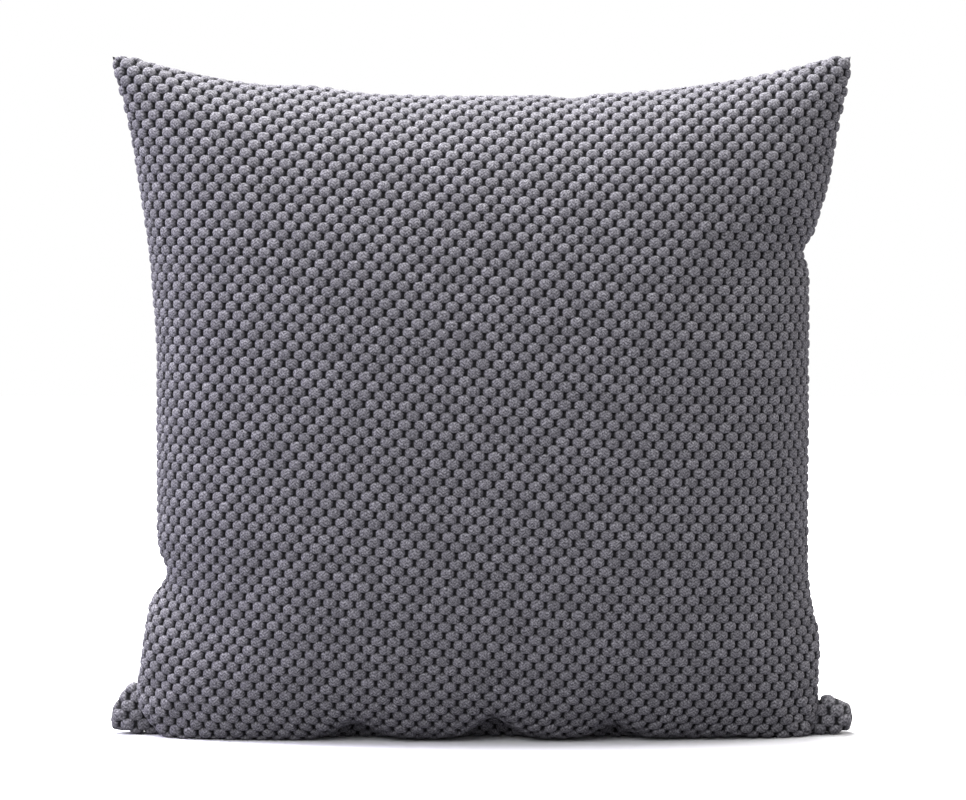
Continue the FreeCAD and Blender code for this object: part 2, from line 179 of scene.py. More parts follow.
def relief(tree: bpy.types.NodeTree, height: object, strength: float, depth_mm: float) -> object:
    """Turn a height into a normal, for relief of a real depth."""
    links = {"Strength": strength, "Distance": depth_mm * MM, "Height": height}
    return add_node(tree, "ShaderNodeBump", links).outputs["Normal"]


def new_material(name: str) -> tuple[bpy.types.Material, bpy.types.NodeTree]:
    """Make a material with an empty node tree.

    Args:
        name: The material's name.

    Returns:
        The material and its tree.
    """
    material = bpy.data.materials.new(name)
    material.use_nodes = True
    material.node_tree.nodes.clear()
    return material, material.node_tree


def surfaced(tree: bpy.types.NodeTree, inputs: dict) -> None:
    """End a material's tree in a principled shader with these inputs."""
    shader = add_node(tree, "ShaderNodeBsdfPrincipled", inputs)
    add_node(tree, "ShaderNodeOutputMaterial", {"Surface": shader.outputs["BSDF"]})


def smooth_step(values: np.ndarray, low: float, high: float) -> np.ndarray:
    """Ramp smoothly from 0 at low to 1 at high."""
    share = np.clip((values - low) / (high - low), 0.0, 1.0)
    return share * share * (3.0 - 2.0 * share)


def scatter(first: np.ndarray, second: np.ndarray, salt: float) -> np.ndarray:
    """Give a steady pseudo-random number from 0 to 1 for each pair of whole numbers."""
    mixed = np.sin(first * 12.9898 + second * 78.233 + salt * 37.719 + SEED) * 43758.5453
    return mixed - np.floor(mixed)


def grid_faces(rows: int, columns: int) -> np.ndarray:
    """Give the four-sided faces of a grid of vertices.

    Args:
        rows: How many rows it has.
        columns: How many columns it has.

    Returns:
        Four vertex numbers for each face.
    """
    index = np.arange(rows * columns).reshape(rows, columns)
    corners = [index[:-1, :-1], index[:-1, 1:], index[1:, 1:], index[1:, :-1]]
    return np.stack(corners, axis=-1).reshape(-1, 4)


def grid_object(name: str, points: np.ndarray, flip: bool) -> bpy.types.Object:
    """Make a smooth mesh object from a grid of points.

    Args:
        name: The object's name.
        points: Rows by columns by three, in millimetres.
        flip: Whether to turn the faces over.

    Returns:
        The new object, linked to the scene.
    """
    faces = grid_faces(*points.shape[:2])
    return face_object(name, points.reshape(-1, 3), faces[:, ::-1] if flip else faces)


def face_object(name: str, points: np.ndarray, faces: np.ndarray) -> bpy.types.Object:
    """Make a smooth mesh object from points in millimetres and faces of equal size.

    Args:
        name: The object's name.
        points: One row of three for each vertex.
        faces: One row of vertex numbers for each face.

    Returns:
        The new object, linked to the scene.
    """
    mesh = bpy.data.meshes.new(name)
    mesh.vertices.add(len(points))
    mesh.vertices.foreach_set("co", (points * MM).astype(np.float32).ravel())
    mesh.loops.add(faces.size)
    mesh.loops.foreach_set("vertex_index", faces.astype(np.int32).ravel())
    mesh.polygons.add(len(faces))
    starts = np.arange(0, faces.size, faces.shape[1], dtype=np.int32)
    mesh.polygons.foreach_set("loop_start", starts)
    mesh.update(calc_edges=True)
    mesh.validate()
    mesh.shade_smooth()
    made = bpy.data.objects.new(name, mesh)
    bpy.context.scene.collection.objects.link(made)
    return made


def level_plane(name: str, reach_x: float, reach_y: float) -> bpy.types.Object:
    """Make a level rectangle at height zero.

    Args:
        name: The object's name.
        reach_x: How far it reaches both ways along X, in millimetres.
        reach_y: How far it reaches both ways along Y, in millimetres.

    Returns:
        The new object.
    """
    signs = np.array([[-1.0, -1.0, 0.0], [1.0, -1.0, 0.0], [1.0, 1.0, 0.0], [-1.0, 1.0, 0.0]])
    return face_object(name, signs * [reach_x, reach_y, 0.0], np.array([[0, 1, 2, 3]]))


def add_attribute(made: bpy.types.Object, name: str, values: np.ndarray) -> None:
    """Store a number or a vector on each vertex for the materials to read.

    Args:
        made: The mesh object.
        name: The attribute's name.
        values: One number, or one row of three, for each vertex.
    """
    kind, key = ("FLOAT_VECTOR", "vector") if values.ndim == 2 else ("FLOAT", "value")
    layer = made.data.attributes.new(name, kind, "POINT")
    layer.data.foreach_set(key, values.astype(np.float32).ravel())


def tubes(paths: list[np.ndarray], radius: float, sides: int) -> tuple[np.ndarray, np.ndarray]:
    """Sweep a round section along paths.

    Args:
        paths: Each a row of points in millimetres.
        radius: The section's radius in millimetres.
        sides: How many points go round the section.

    Returns:
        The vertices of all tubes and their four-sided faces.
    """
    angles = np.linspace(0.0, 2.0 * math.pi, sides, endpoint=False)
    vertices, faces, start = [], [], 0
    for path in paths:
        along = np.gradient(path, axis=0)
        along /= np.linalg.norm(along, axis=1, keepdims=True)
        helper = np.where(np.abs(along[:, :1]) < 0.9, [[1.0, 0.0, 0.0]], [[0.0, 0.0, 1.0]])
        first = np.cross(along, helper)
        first /= np.linalg.norm(first, axis=1, keepdims=True)
        second = np.cross(along, first)
        taper = np.ones(len(path))
        taper[[0, -1]] = 0.15
        ring = (
            path[:, None]
            + radius * taper[:, None, None] * np.cos(angles)[None, :, None] * first[:, None]
            + radius * taper[:, None, None] * np.sin(angles)[None, :, None] * second[:, None]
        )
        index = start + np.arange(ring.shape[0] * sides).reshape(-1, sides)
        after = np.roll(index, -1, axis=1)
        faces.append(
            np.stack([index[:-1], after[:-1], after[1:], index[1:]], axis=-1).reshape(-1, 4)
        )
        vertices.append(ring.reshape(-1, 3))
        start += ring.shape[0] * sides
    return np.concatenate(vertices), np.concatenate(faces)


def outward(points: np.ndarray, side: Side) -> np.ndarray:
    """Give the unit normals of a panel's grid.

    Args:
        points: The grid.
        side: Which side of the pillow it is.

    Returns:
        Unit vectors that point out of the pillow.
    """
    up, across = np.gradient(points, axis=(0, 1))
    normals = np.cross(across, up) * -side.value
    return normals / (np.linalg.norm(normals, axis=-1, keepdims=True) + 1e-12)


def sampled(
    points: np.ndarray,
    across: np.ndarray,
    up: np.ndarray,
    fabric: np.ndarray,
) -> np.ndarray:
    """Read a grid of points between its rows and columns.

    Args:
        points: The grid.
        across: Places across the flat panel to read it at.
        up: Places up the flat panel to read it at.
        fabric: Places of the grid's rows or columns on the flat panel.

    Returns:
        The points read.
    """
    step = fabric[1] - fabric[0]
    column = np.clip((across - fabric[0]) / step, 0.0, len(fabric) - 1.001)
    row = np.clip((up - fabric[0]) / step, 0.0, len(fabric) - 1.001)
    low_column, low_row = np.floor(column).astype(int), np.floor(row).astype(int)
    right, above = (column - low_column)[..., None], (row - low_row)[..., None]
    rows = []
    for number in (low_row, low_row + 1):
        rows.append(points[number, low_column] * (1.0 - right) + points[number, low_column + 1] * right)
    return rows[0] * (1.0 - above) + rows[1] * above


def ribbon(path: np.ndarray, across: np.ndarray, thickness: float) -> tuple[np.ndarray, np.ndarray]:
    """Sweep a flat section along a path.

    Args:
        path: A row of points in millimetres, the middle of the ribbon.
        across: For each point, the vector from the middle to one edge.
        thickness: The ribbon's thickness in millimetres.

    Returns:
        The vertices and the four-sided faces of a closed strip.
    """
    along = np.gradient(path, axis=0)
    normal = np.cross(along, across)
    normal *= thickness / 2.0 / np.linalg.norm(normal, axis=1, keepdims=True)
    ring = [path - across - normal, path + across - normal, path + across + normal]
    ring.append(path - across + normal)
    points = np.stack(ring, axis=1)
    index = np.arange(len(path) * 4).reshape(-1, 4)
    after = np.roll(index, -1, axis=1)
    faces = np.stack([index[:-1], after[:-1], after[1:], index[1:]], axis=-1).reshape(-1, 4)
    ends = np.array([index[0], index[-1][::-1]])
    return points.reshape(-1, 3), np.concatenate([faces, ends])


def resampled(path: np.ndarray, step: float) -> np.ndarray:
    """Give points at equal distances along a path.

    Args:
        path: A row of points in millimetres.
        step: About how far apart the new points are.

    Returns:
        The new points.
    """
    far = np.concatenate([[0.0], np.cumsum(np.linalg.norm(np.diff(path, axis=0), axis=1))])
    places = np.linspace(0.0, far[-1], max(3, int(far[-1] / step) + 1))
    return np.stack([np.interp(places, far, path[:, axis]) for axis in range(3)], axis=-1)


def settle_piece(
    made: bpy.types.Object,
    finish: bpy.types.Material,
    body: str,
    slot: str,
    *nodes: str,
) -> bpy.types.Object:
    """Dress a piece, hang it on its body and hide the solids that it stands for.

    Args:
        made: The piece.
        finish: Its material.
        body: The body that it rides on.
        slot: Not used.
        *nodes: The CAD nodes that it replaces.

    Returns:
        The piece.
    """
    made.data.materials.append(finish)
    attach(made, body)
    if nodes:
        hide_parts(*nodes)
    LOG.info("%s: %d vertices on %s", made.name, len(made.data.vertices), body)
    return made


# ------------------------------------------------------------------------------------ finishes


@dataclass(frozen=True)
class BubbleKnit:
    """Bubble-stitch knit of a grey melange yarn of wool and acrylic, brushed lightly.

    The eye sees matte grey bubbles speckled light and dark by the mixed fibres, each with small
    loops, and a soft pale bloom where the surface turns away. The colour is darkened to near black
    over the bubbles' rims and in the gaps between them: painted shade.
    Real fibres and loops are under half a millimetre, so both are drawn two to three times as
    coarse, or they would blend to one flat grey.
    """

    stitch: "BubbleStitch"
    dark_fibre: str = "3a393c"
    mid_fibre: str = "6c6a6f"
    light_fibre: str = "9f9ea2"
    speck_mm: float = 1.25
    loop_width_mm: float = 2.3
    loop_height_mm: float = 2.1
    roughness: float = 0.92
    fibre_ior: float = 1.45
    dark_place: float = 0.34
    light_place: float = 0.68
    loop_contrast: float = 0.05
    gap_shade_reach: tuple[float, float] = (0.82, 1.04)
    gap_shade_level: float = 0.07
    rim_rise: float = 1.6
    tone_contrast: float = 0.13
    tone_level: float = 0.96
    relief_mm: float = 0.5

    def build(self) -> bpy.types.Material:
        """Make the material.

        Returns:
            The material.
        """
        material, tree = new_material("bubble_knit_melange_yarn")
        fabric = add_node(tree, "ShaderNodeAttribute", attribute_name="fabric").outputs["Vector"]
        tone = add_node(tree, "ShaderNodeAttribute", attribute_name="tone").outputs["Fac"]
        noise = {"Vector": fabric, "Scale": 1.0 / self.speck_mm, "Detail": 3.0, "Roughness": 0.75}
        specks = add_node(tree, "ShaderNodeTexNoise", noise).outputs["Fac"]
        loops = self.loops(tree, fabric, specks)
        both = compute(tree, "MULTIPLY_ADD", loops, self.loop_contrast, specks)
        fibres = add_node(tree, "ShaderNodeValToRGB", {"Fac": both})
        ramp = fibres.color_ramp
        ramp.elements[0].position = self.dark_place
        ramp.elements[0].color = linear(self.dark_fibre)
        ramp.elements[1].position = self.light_place
        ramp.elements[1].color = linear(self.light_fibre)
        ramp.elements.new(0.5).color = linear(self.mid_fibre)
        rim = self.rim(tree, fabric)
        # Painted shade: the colour darkens over each bubble's rim to near black in the gaps between the
        # bubbles.
        painted_gap_shade = ranged(tree, rim, self.gap_shade_reach, (1.0, self.gap_shade_level), "SMOOTHSTEP")
        uneven = compute(tree, "MULTIPLY_ADD", tone, self.tone_contrast, self.tone_level)
        level = compute(tree, "MULTIPLY", painted_gap_shade, uneven)
        height = compute(tree, "MULTIPLY_ADD", painted_gap_shade, self.rim_rise, both)
        inputs = {
            "Base Color": shaded(tree, fibres.outputs["Color"], level),
            "Roughness": self.roughness,
            "IOR": self.fibre_ior,
            "Specular IOR Level": 0.2,
            "Sheen Weight": 0.12,
            "Sheen Roughness": 0.6,
            "Sheen Tint": linear("d8d8de"),
            "Normal": relief(tree, height, 0.8, self.relief_mm),
        }
        surfaced(tree, inputs)
        return material

    def rim(self, tree: bpy.types.NodeTree, fabric: bpy.types.NodeSocket) -> bpy.types.NodeSocket:
        """Tell how far a place is from the middle of its bubble.

        Args:
            tree: The material's node tree.
            fabric: Place on the fabric in millimetres, square to the bubbles' rows.

        Returns:
            A socket that is 0 at the middle of a bubble, 1 on its rim and more in the gaps.
        """
        stitch = self.stitch
        reaches = []
        for shift in (0.0, 1.0):
            moved = {0: fabric, 1: (shift * stitch.pitch / 2.0, shift * stitch.row_pitch, 0.0)}
            place = add_node(tree, "ShaderNodeVectorMath", moved, operation="ADD").outputs["Vector"]
            parts = add_node(tree, "ShaderNodeSeparateXYZ", {"Vector": place})
            terms = []
            for name, period, size in (
                ("X", stitch.pitch / 2.0, stitch.half_width),
                ("Y", stitch.row_pitch, stitch.half_height),
            ):
                off = compute(tree, "PINGPONG", parts.outputs[name], period)
                share = compute(tree, "DIVIDE", off, size)
                terms.append(compute(tree, "POWER", share, stitch.roundness))
            total = compute(tree, "ADD", *terms)
            reaches.append(compute(tree, "POWER", total, 1.0 / stitch.roundness))
        return compute(tree, "MINIMUM", *reaches)

    def loops(
        self,
        tree: bpy.types.NodeTree,
        fabric: bpy.types.NodeSocket,
        specks: bpy.types.NodeSocket,
    ) -> bpy.types.NodeSocket:
        """Draw the V-shaped loops of a plain knit, made uneven by the fibres.

        Args:
            tree: The material's node tree.
            fabric: Place on the fabric in millimetres.
            specks: Noise that moves the loops about.

        Returns:
            A socket from -1 in the furrows to 1 on the yarn.
        """
        split = add_node(tree, "ShaderNodeSeparateXYZ", {"Vector": fabric})
        leg = compute(tree, "PINGPONG", split.outputs["X"], self.loop_width_mm)
        slanted = compute(tree, "MULTIPLY_ADD", leg, 0.9, split.outputs["Y"])
        moved = compute(tree, "MULTIPLY_ADD", specks, 1.5, slanted)
        phase = compute(tree, "MULTIPLY", moved, 2.0 * math.pi / self.loop_height_mm)
        return compute(tree, "SINE", phase)


@dataclass(frozen=True)
class PlainWeave:
    """Plain-woven cloth or tape of round threads, calendered flat.

    The eye sees a fine even grid of threads that go over and under, with a faint unevenness in tone.
    """

    name: str
    colour: str
    thread_mm: float = 0.6
    roughness: float = 0.85
    sheen: float = 0.15

    def build(self) -> bpy.types.Material:
        """Make the material.

        Returns:
            The material.
        """
        material, tree = new_material(self.name)
        place = add_node(tree, "ShaderNodeTexCoord").outputs["Object"]
        wave = {"Vector": place, "Scale": 0.314 / (self.thread_mm * MM), "Distortion": 0.4}
        threads = [
            add_node(tree, "ShaderNodeTexWave", wave, bands_direction=way).outputs["Fac"]
            for way in ("X", "Z")
        ]
        weave = compute(tree, "MULTIPLY", *threads)
        noise = {"Vector": place, "Scale": 180.0, "Detail": 4.0}
        uneven = add_node(tree, "ShaderNodeTexNoise", noise).outputs["Fac"]
        level = compute(tree, "MULTIPLY_ADD", uneven, 0.35, weave)
        shade = ranged(tree, level, (0.0, 1.2), (0.62, 1.1))
        inputs = {
            "Base Color": shaded(tree, linear(self.colour)[:3], shade),
            "Roughness": self.roughness,
            "Sheen Weight": self.sheen,
            "Normal": relief(tree, weave, 0.5, 0.12),
        }
        surfaced(tree, inputs)
        return material


@dataclass(frozen=True)
class SpeckledSolid:
    """A solid material with a fine grain: moulded nylon, lacquered zinc or carded fibre.

    The eye sees one even colour whose gloss and tone waver a little over the grain's size.
    """

    name: str
    colour: str
    grain_mm: float
    roughness: float
    relief_mm: float = 0.02
    contrast: float = 0.12
    metallic: float = 0.0
    coat: float = 0.0
    sheen: float = 0.0

    def build(self) -> bpy.types.Material:
        """Make the material.

        Returns:
            The material.
        """
        material, tree = new_material(self.name)
        place = add_node(tree, "ShaderNodeTexCoord").outputs["Object"]
        noise = {"Vector": place, "Scale": 1.0 / (self.grain_mm * MM), "Detail": 4.0}
        grain = add_node(tree, "ShaderNodeTexNoise", noise).outputs["Fac"]
        tones = (1.0 - self.contrast, 1.0 + self.contrast)
        shade = ranged(tree, grain, (0.25, 0.75), tones)
        glosses = (max(0.0, self.roughness - 0.1), min(1.0, self.roughness + 0.1))
        inputs = {
            "Base Color": shaded(tree, linear(self.colour)[:3], shade),
            "Metallic": self.metallic,
            "Roughness": ranged(tree, grain, (0.0, 1.0), glosses),
            "Coat Weight": self.coat,
            "Sheen Weight": self.sheen,
            "Normal": relief(tree, grain, 0.4, self.relief_mm),
        }
        surfaced(tree, inputs)
        return material


@dataclass(frozen=True)
class StudioSweep:
    """Matte white paper sweep with a painted glow: further out it glows white, to the camera only.

    The eye sees plain white paper, with a soft shadow close round the pillow: partly cast by the lamps
    and partly painted, where the glow fades out. To other rays the paper is a dull grey.
    """

    paper: str = "f4f4f5"
    thrown: str = "8c8c90"
    shadow_reach: float = 0.3
    shadow_end: float = 0.75

    def build(self) -> bpy.types.Material:
        """Make the material.

        Returns:
            The material.
        """
        material, tree = new_material("white_paper_sweep")
        place = add_node(tree, "ShaderNodeTexCoord").outputs["Object"]
        away = add_node(tree, "ShaderNodeVectorMath", {0: place}, operation="LENGTH")
        reach = (self.shadow_reach, self.shadow_end)
        # Painted glow and painted shadow: the floor glows white to the camera only, fading out towards
        # the pillow so that it is darker close round it.
        painted_floor_glow = ranged(tree, away.outputs["Value"], reach, (0.0, 0.9), "SMOOTHSTEP")
        path = add_node(tree, "ShaderNodeLightPath")
        painted_glow_to_camera = compute(tree, "MULTIPLY", painted_floor_glow, path.outputs["Is Camera Ray"])
        light = add_node(tree, "ShaderNodeEmission", {"Strength": painted_glow_to_camera}).outputs[0]
        seen = add_node(tree, "ShaderNodeBsdfDiffuse", {"Color": linear(self.paper)}).outputs[0]
        dull = add_node(tree, "ShaderNodeBsdfDiffuse", {"Color": linear(self.thrown)}).outputs[0]
        chosen = {0: path.outputs["Is Camera Ray"], 1: dull, 2: seen}
        surface = add_node(tree, "ShaderNodeMixShader", chosen).outputs[0]
        total = add_node(tree, "ShaderNodeAddShader", {0: surface, 1: light}).outputs[0]
        add_node(tree, "ShaderNodeOutputMaterial", {"Surface": total})
        return material


# ------------------------------------------------------------------------------------ the form


@dataclass(frozen=True)
class Pucker:
    """A place where a seam is drawn in and creases the panel beside it.

    Sizes are in millimetres on the flat panel, whose middle is zero.
    """

    edge: Edge
    place: float
    depth: float
    width: float
    reach: float
    valley: float = 0.0


@dataclass(frozen=True)
class BellyLift:
    """A place where the rolled bottom edge stands clear of the ground."""

    place: float
    height: float
    width: float


@dataclass(frozen=True)
class CornerEar:
    """A lower corner that the insert doesn't fill: it lies on the ground behind the body.

    The neck is the line where the filled body ends. Fabric lengths and places are in millimetres.
    """

    way: float
    fabric_along: float
    fabric_up: float
    tip: tuple[float, float]
    neck_high: tuple[float, float]
    neck_low: tuple[float, float]
    half_thickness: float
    bulb: float
    overhang: float
    rise_length: float = 24.0
    reach: float = 90.0
    pleats: float = 5.0
    pleat_depth: float = 1.0
    pleat_place: float = 1.35
    roll_width: float = 16.0
    round_share: float = 0.3
    least_share: float = 0.08

    def reading(self, across: np.ndarray, up: np.ndarray, half: float) -> tuple[np.ndarray, ...]:
        """Read the fabric by its place on the ear.

        Args:
            across: Places across the panel.
            up: Places up the panel.
            half: Half the panel's side.

        Returns:
            Share of the way from the tip to the neck, place from -1 on the side seam to 1 on the
            bottom seam, and the distance past the neck in millimetres.
        """
        along = (half - self.way * across) / self.fabric_along
        rise = (up + half) / self.fabric_up
        share = along + rise
        slant = (along - rise) / np.maximum(share, 1e-6)
        size = 1.0 / math.hypot(1.0 / self.fabric_along, 1.0 / self.fabric_up)
        return share, slant, (share - 1.0) * size

    def laid(self, share: np.ndarray, slant: np.ndarray) -> tuple[np.ndarray, ...]:
        """Give the ear's own surface.

        Args:
            share: Share of the way from the tip to the neck.
            slant: Place from -1 on the side seam to 1 on the bottom seam.

        Returns:
            X, distance from the middle plane, and Z.
        """
        share = np.clip(share, 0.0, 1.0)
        tip, high, low = (np.array(place) for place in (self.tip, self.neck_high, self.neck_low))
        middle, aside = (high + low) / 2.0, (low - high) / 2.0
        round_end = np.sqrt(1.0 - (1.0 - np.minimum(share / self.round_share, 1.0)) ** 2)
        swell = share + self.bulb * round_end * (1.0 - smooth_step(share, 0.5, 1.0))
        across = np.sin(math.pi / 2.0 * slant) * swell
        tilt = math.atan2(aside[0], -aside[1]) * share
        half_width = math.hypot(*aside)
        deep = self.half_thickness * np.sin(math.pi * 0.78 * share**0.6)
        share = np.maximum(share, self.least_share)
        x = tip[0] + (middle[0] - tip[0]) * share + half_width * np.sin(tilt) * across
        z = tip[1] + (middle[1] - tip[1]) * share - half_width * np.cos(tilt) * across
        return x, deep * np.cos(math.pi / 2.0 * slant), z

    def shaped(self, points: np.ndarray, side: Side, fabric: np.ndarray) -> np.ndarray:
        """Lay the ear down and roll the body over its neck.

        Args:
            points: A panel's grid.
            side: Which side of the pillow.
            fabric: Places of the grid's rows or columns on the flat panel.

        Returns:
            The grid with its ear.
        """
        across, up = np.meshgrid(fabric, fabric)
        half = fabric[-1]
        share, slant, past = self.reading(across, up, half)
        ear_x, ear_y, ear_z = self.laid(share, slant)

        at_across = self.way * (half - self.fabric_along * (1.0 + slant) / 2.0)
        at_up = self.fabric_up * (1.0 - slant) / 2.0 - half
        neck = sampled(points, at_across, at_up, fabric)
        pull = np.stack([ear_x, ear_z], axis=-1) - neck[..., [0, 2]]
        held = 1.0 - smooth_step(past, 0.0, self.reach)
        window = np.sqrt(np.clip(np.cos(math.pi / 2.0 * slant), 0.0, 1.0))
        run = np.clip(past, 0.0, None) / self.roll_width
        out = self.overhang * window * run * np.exp(1.0 - run)
        size = math.hypot(1.0 / self.fabric_along, 1.0 / self.fabric_up)
        away = np.array([self.way / self.fabric_along, -1.0 / self.fabric_up]) / size
        rolled = points[..., [0, 2]] + pull * held[..., None] + out[..., None] * away
        full = np.sqrt(smooth_step(past, 0.0, self.rise_length))
        deep = np.abs(points[..., 1]) * full + ear_y * (1.0 - full)
        folds = np.cos(math.pi * self.pleats * slant)
        folds *= np.exp(-(((share - self.pleat_place) / 0.4) ** 2))
        deep += self.pleat_depth * folds * window

        inside = share <= 1.0
        result = points.copy()
        result[..., 0] = np.where(inside, ear_x, rolled[..., 0])
        result[..., 2] = np.where(inside, ear_z, rolled[..., 1])
        result[..., 1] = side.value * np.where(inside, ear_y, deep)
        return result


@dataclass(frozen=True)
class PillowForm:
    """The filled pillow's form, one panel at a time, on a grid of the flat square cut.

    Grids run from the bottom row to the top one, and from the left column to the right one.
    """

    height: float
    half_depth: float
    flat: float = 500.0
    count: int = 101
    seam_left: tuple[tuple[float, float], ...] = (
        (0.0, 242.0),
        (14.0, 234.0),
        (30.0, 226.0),
        (45.0, 221.5),
        (65.0, 218.0),
        (88.0, 213.5),
        (120.0, 209.0),
        (259.0, 208.5),
        (315.0, 213.0),
        (346.0, 217.5),
        (372.0, 221.5),
        (400.0, 226.5),
        (426.0, 234.0),
        (444.0, 240.5),
    )
    seam_right: tuple[tuple[float, float], ...] = (
        (0.0, 242.0),
        (14.0, 232.0),
        (30.0, 222.0),
        (49.0, 218.5),
        (65.0, 217.5),
        (82.0, 214.5),
        (100.0, 211.0),
        (318.0, 210.5),
        (332.0, 215.0),
        (346.0, 219.5),
        (361.0, 223.5),
        (393.0, 229.0),
        (420.0, 235.0),
        (444.0, 241.0),
    )
    top_sag: float = 30.5
    bottom_drop: float = 24.0
    bottom_lift: float = 24.0
    top_power: float = 2.8
    bottom_power: float = 4.0
    fullness_power: float = 2.6
    floor_rounding: float = 13.0
    underside: float = 1.5
    zip_strip: float = 14.0
    blunting: float = 3.0
    blunt_reach: float = 15.0
    puckers: tuple[Pucker, ...] = ()
    lifts: tuple[BellyLift, ...] = ()
    ears: tuple[CornerEar, ...] = ()

    def fabric(self) -> np.ndarray:
        """Places of the grid's rows or columns on the flat panel."""
        return np.linspace(-self.flat / 2.0, self.flat / 2.0, self.count)

    def outline(self, up: np.ndarray, seam: tuple[tuple[float, float], ...]) -> np.ndarray:
        """Give the distance from the middle line to a side seam.

        Args:
            up: Height up the seam from -1 to 1.
            seam: Heights in millimetres, rising, and the seam's distance at each.

        Returns:
            The distances in millimetres.
        """
        fine = np.linspace(0.0, self.height, 445)
        heights, distances = zip(*seam)
        spread = np.interp(fine, heights, distances)
        window = np.hanning(31)
        padded = np.pad(spread, 15, mode="reflect", reflect_type="odd")
        smoothed = np.convolve(padded, window / window.sum(), mode="valid")
        return np.interp((up + 1.0) / 2.0 * self.height, fine, smoothed)

    def swelling(self, place: np.ndarray) -> np.ndarray:
        """Give the share of the full depth at places from -1 to 1 between two seams."""
        return np.sqrt(np.clip(1.0 - np.abs(place) ** self.fullness_power, 0.0, None))

    def bare(self, side: Side) -> np.ndarray:
        """Give the form before it is pressed, creased or evened out.

        Args:
            side: Which side of the pillow.

        Returns:
            A dense grid of points.
        """
        dense = 2 * self.count + 1
        places = np.sin(np.pi * np.linspace(-0.5, 0.5, dense))
        across, up = np.meshgrid(places, places)
        left = -self.outline(up, self.seam_left)
        right = self.outline(up, self.seam_right)
        bottom = -self.bottom_drop + self.bottom_lift * np.abs(across) ** self.bottom_power
        top = self.height - self.top_sag + self.top_sag * np.abs(across) ** self.top_power
        share_x, share_z = (across + 1.0) / 2.0, (up + 1.0) / 2.0
        depth = side.value * self.half_depth * (self.swelling(across) * self.swelling(up))
        return np.stack(
            [left + (right - left) * share_x, depth, bottom + (top - bottom) * share_z], axis=-1
        )

    def evened(self, points: np.ndarray, passes: int = 10) -> np.ndarray:
        """Slide the grid along its own surface until its rows and columns are evenly spaced.

        Args:
            points: The dense grid.
            passes: How often rows and then columns are evened.

        Returns:
            A grid of the form's own count.
        """
        for _ in range(passes):
            points = self.respaced(points, points.shape[1])
            points = self.respaced(points.transpose(1, 0, 2), points.shape[0]).transpose(1, 0, 2)
        points = self.respaced(points, self.count)
        return self.respaced(points.transpose(1, 0, 2), self.count).transpose(1, 0, 2)

    @staticmethod
    def respaced(points: np.ndarray, count: int) -> np.ndarray:
        """Give each row the same number of points at equal distances along it.

        Args:
            points: A grid of points.
            count: How many points each row is to have.

        Returns:
            The grid with its rows evened.
        """
        steps = np.linalg.norm(np.diff(points, axis=1), axis=2)
        along = np.concatenate([np.zeros((len(points), 1)), np.cumsum(steps, axis=1)], axis=1)
        share = np.linspace(0.0, 1.0, count)
        return np.stack(
            [
                np.stack([np.interp(share * far[-1], far, row[:, axis]) for axis in range(3)], axis=-1)
                for far, row in zip(along, points)
            ]
        )

    def pressed(self, points: np.ndarray) -> np.ndarray:
        """Flatten what would reach below the ground, and lift the places that stand clear.

        Args:
            points: A grid of points.

        Returns:
            The pressed grid.
        """
        ground = np.zeros(points.shape[:2])
        for lift in self.lifts:
            ground += lift.height * np.exp(-(((points[..., 0] - lift.place) / lift.width) ** 2))
        ground *= smooth_step(np.abs(points[..., 1]), self.zip_strip, self.zip_strip + 14.0)
        height = points[..., 2] - ground
        rounded = ground + (height + np.sqrt(height**2 + self.floor_rounding**2)) / 2.0
        return np.concatenate([points[..., :2], rounded[..., None]], axis=-1)

    def creased(self, points: np.ndarray, side: Side) -> np.ndarray:
        """Draw the seams in at each pucker, with a valley that fades into the panel.

        Args:
            points: The grid.
            side: Which side of the pillow.

        Returns:
            The creased grid.
        """
        points = points.copy()
        across, up = np.meshgrid(self.fabric(), self.fabric())
        half = self.flat / 2.0
        reading = {
            Edge.LEFT: (across + half, up, 0, 1.0),
            Edge.RIGHT: (half - across, up, 0, -1.0),
            Edge.BOTTOM: (up + half, across, 2, 1.0),
            Edge.TOP: (half - up, across, 2, -1.0),
        }
        for pucker in self.puckers:
            inside, along, axis, inward = reading[pucker.edge]
            spread = pucker.width * (1.0 + inside / pucker.reach)
            shape = np.exp(-(((along - pucker.place) / spread) ** 2))
            points[..., axis] += inward * pucker.depth * shape * np.exp(-inside / pucker.reach)
            sunk = pucker.valley * shape * (inside / pucker.reach) * np.exp(1.0 - inside / pucker.reach)
            points[..., 1] -= side.value * np.minimum(sunk, 0.8 * np.abs(points[..., 1]))
        return points

    def panel(self, side: Side) -> np.ndarray:
        """Give one panel's grid on the filled pillow.

        Args:
            side: Which side of the pillow.

        Returns:
            A grid of points.
        """
        points = self.creased(self.pressed(self.evened(self.bare(side))), side)
        for ear in self.ears:
            points = ear.shaped(points, side, self.fabric())
        across, up = np.meshgrid(self.fabric(), self.fabric())
        half = self.flat / 2.0
        near = 1.0 - smooth_step(np.hypot(half - np.abs(across), half - up), 0.0, self.blunt_reach)
        points[..., 0] -= np.sign(across) * 0.6 * self.blunting * near
        points[..., 2] -= self.blunting * near
        low = points[..., 2] - self.underside
        points[..., 2] = self.underside + (low + np.sqrt(low**2 + 2.0)) / 2.0
        return points

    def held(self, hem: int) -> np.ndarray:
        """Tell which of the grid's points are sewn or lie in an ear, so that they don't settle.

        Args:
            hem: How many rows beside the bottom seam are held with it.

        Returns:
            A mask of the grid.
        """
        mask = np.zeros((self.count, self.count), bool)
        mask[:, [0, -1]] = True
        mask[-1] = True
        mask[: hem + 1] = True
        across, up = np.meshgrid(self.fabric(), self.fabric())
        for ear in self.ears:
            mask |= ear.reading(across, up, self.flat / 2.0)[0] < 1.25
        return mask


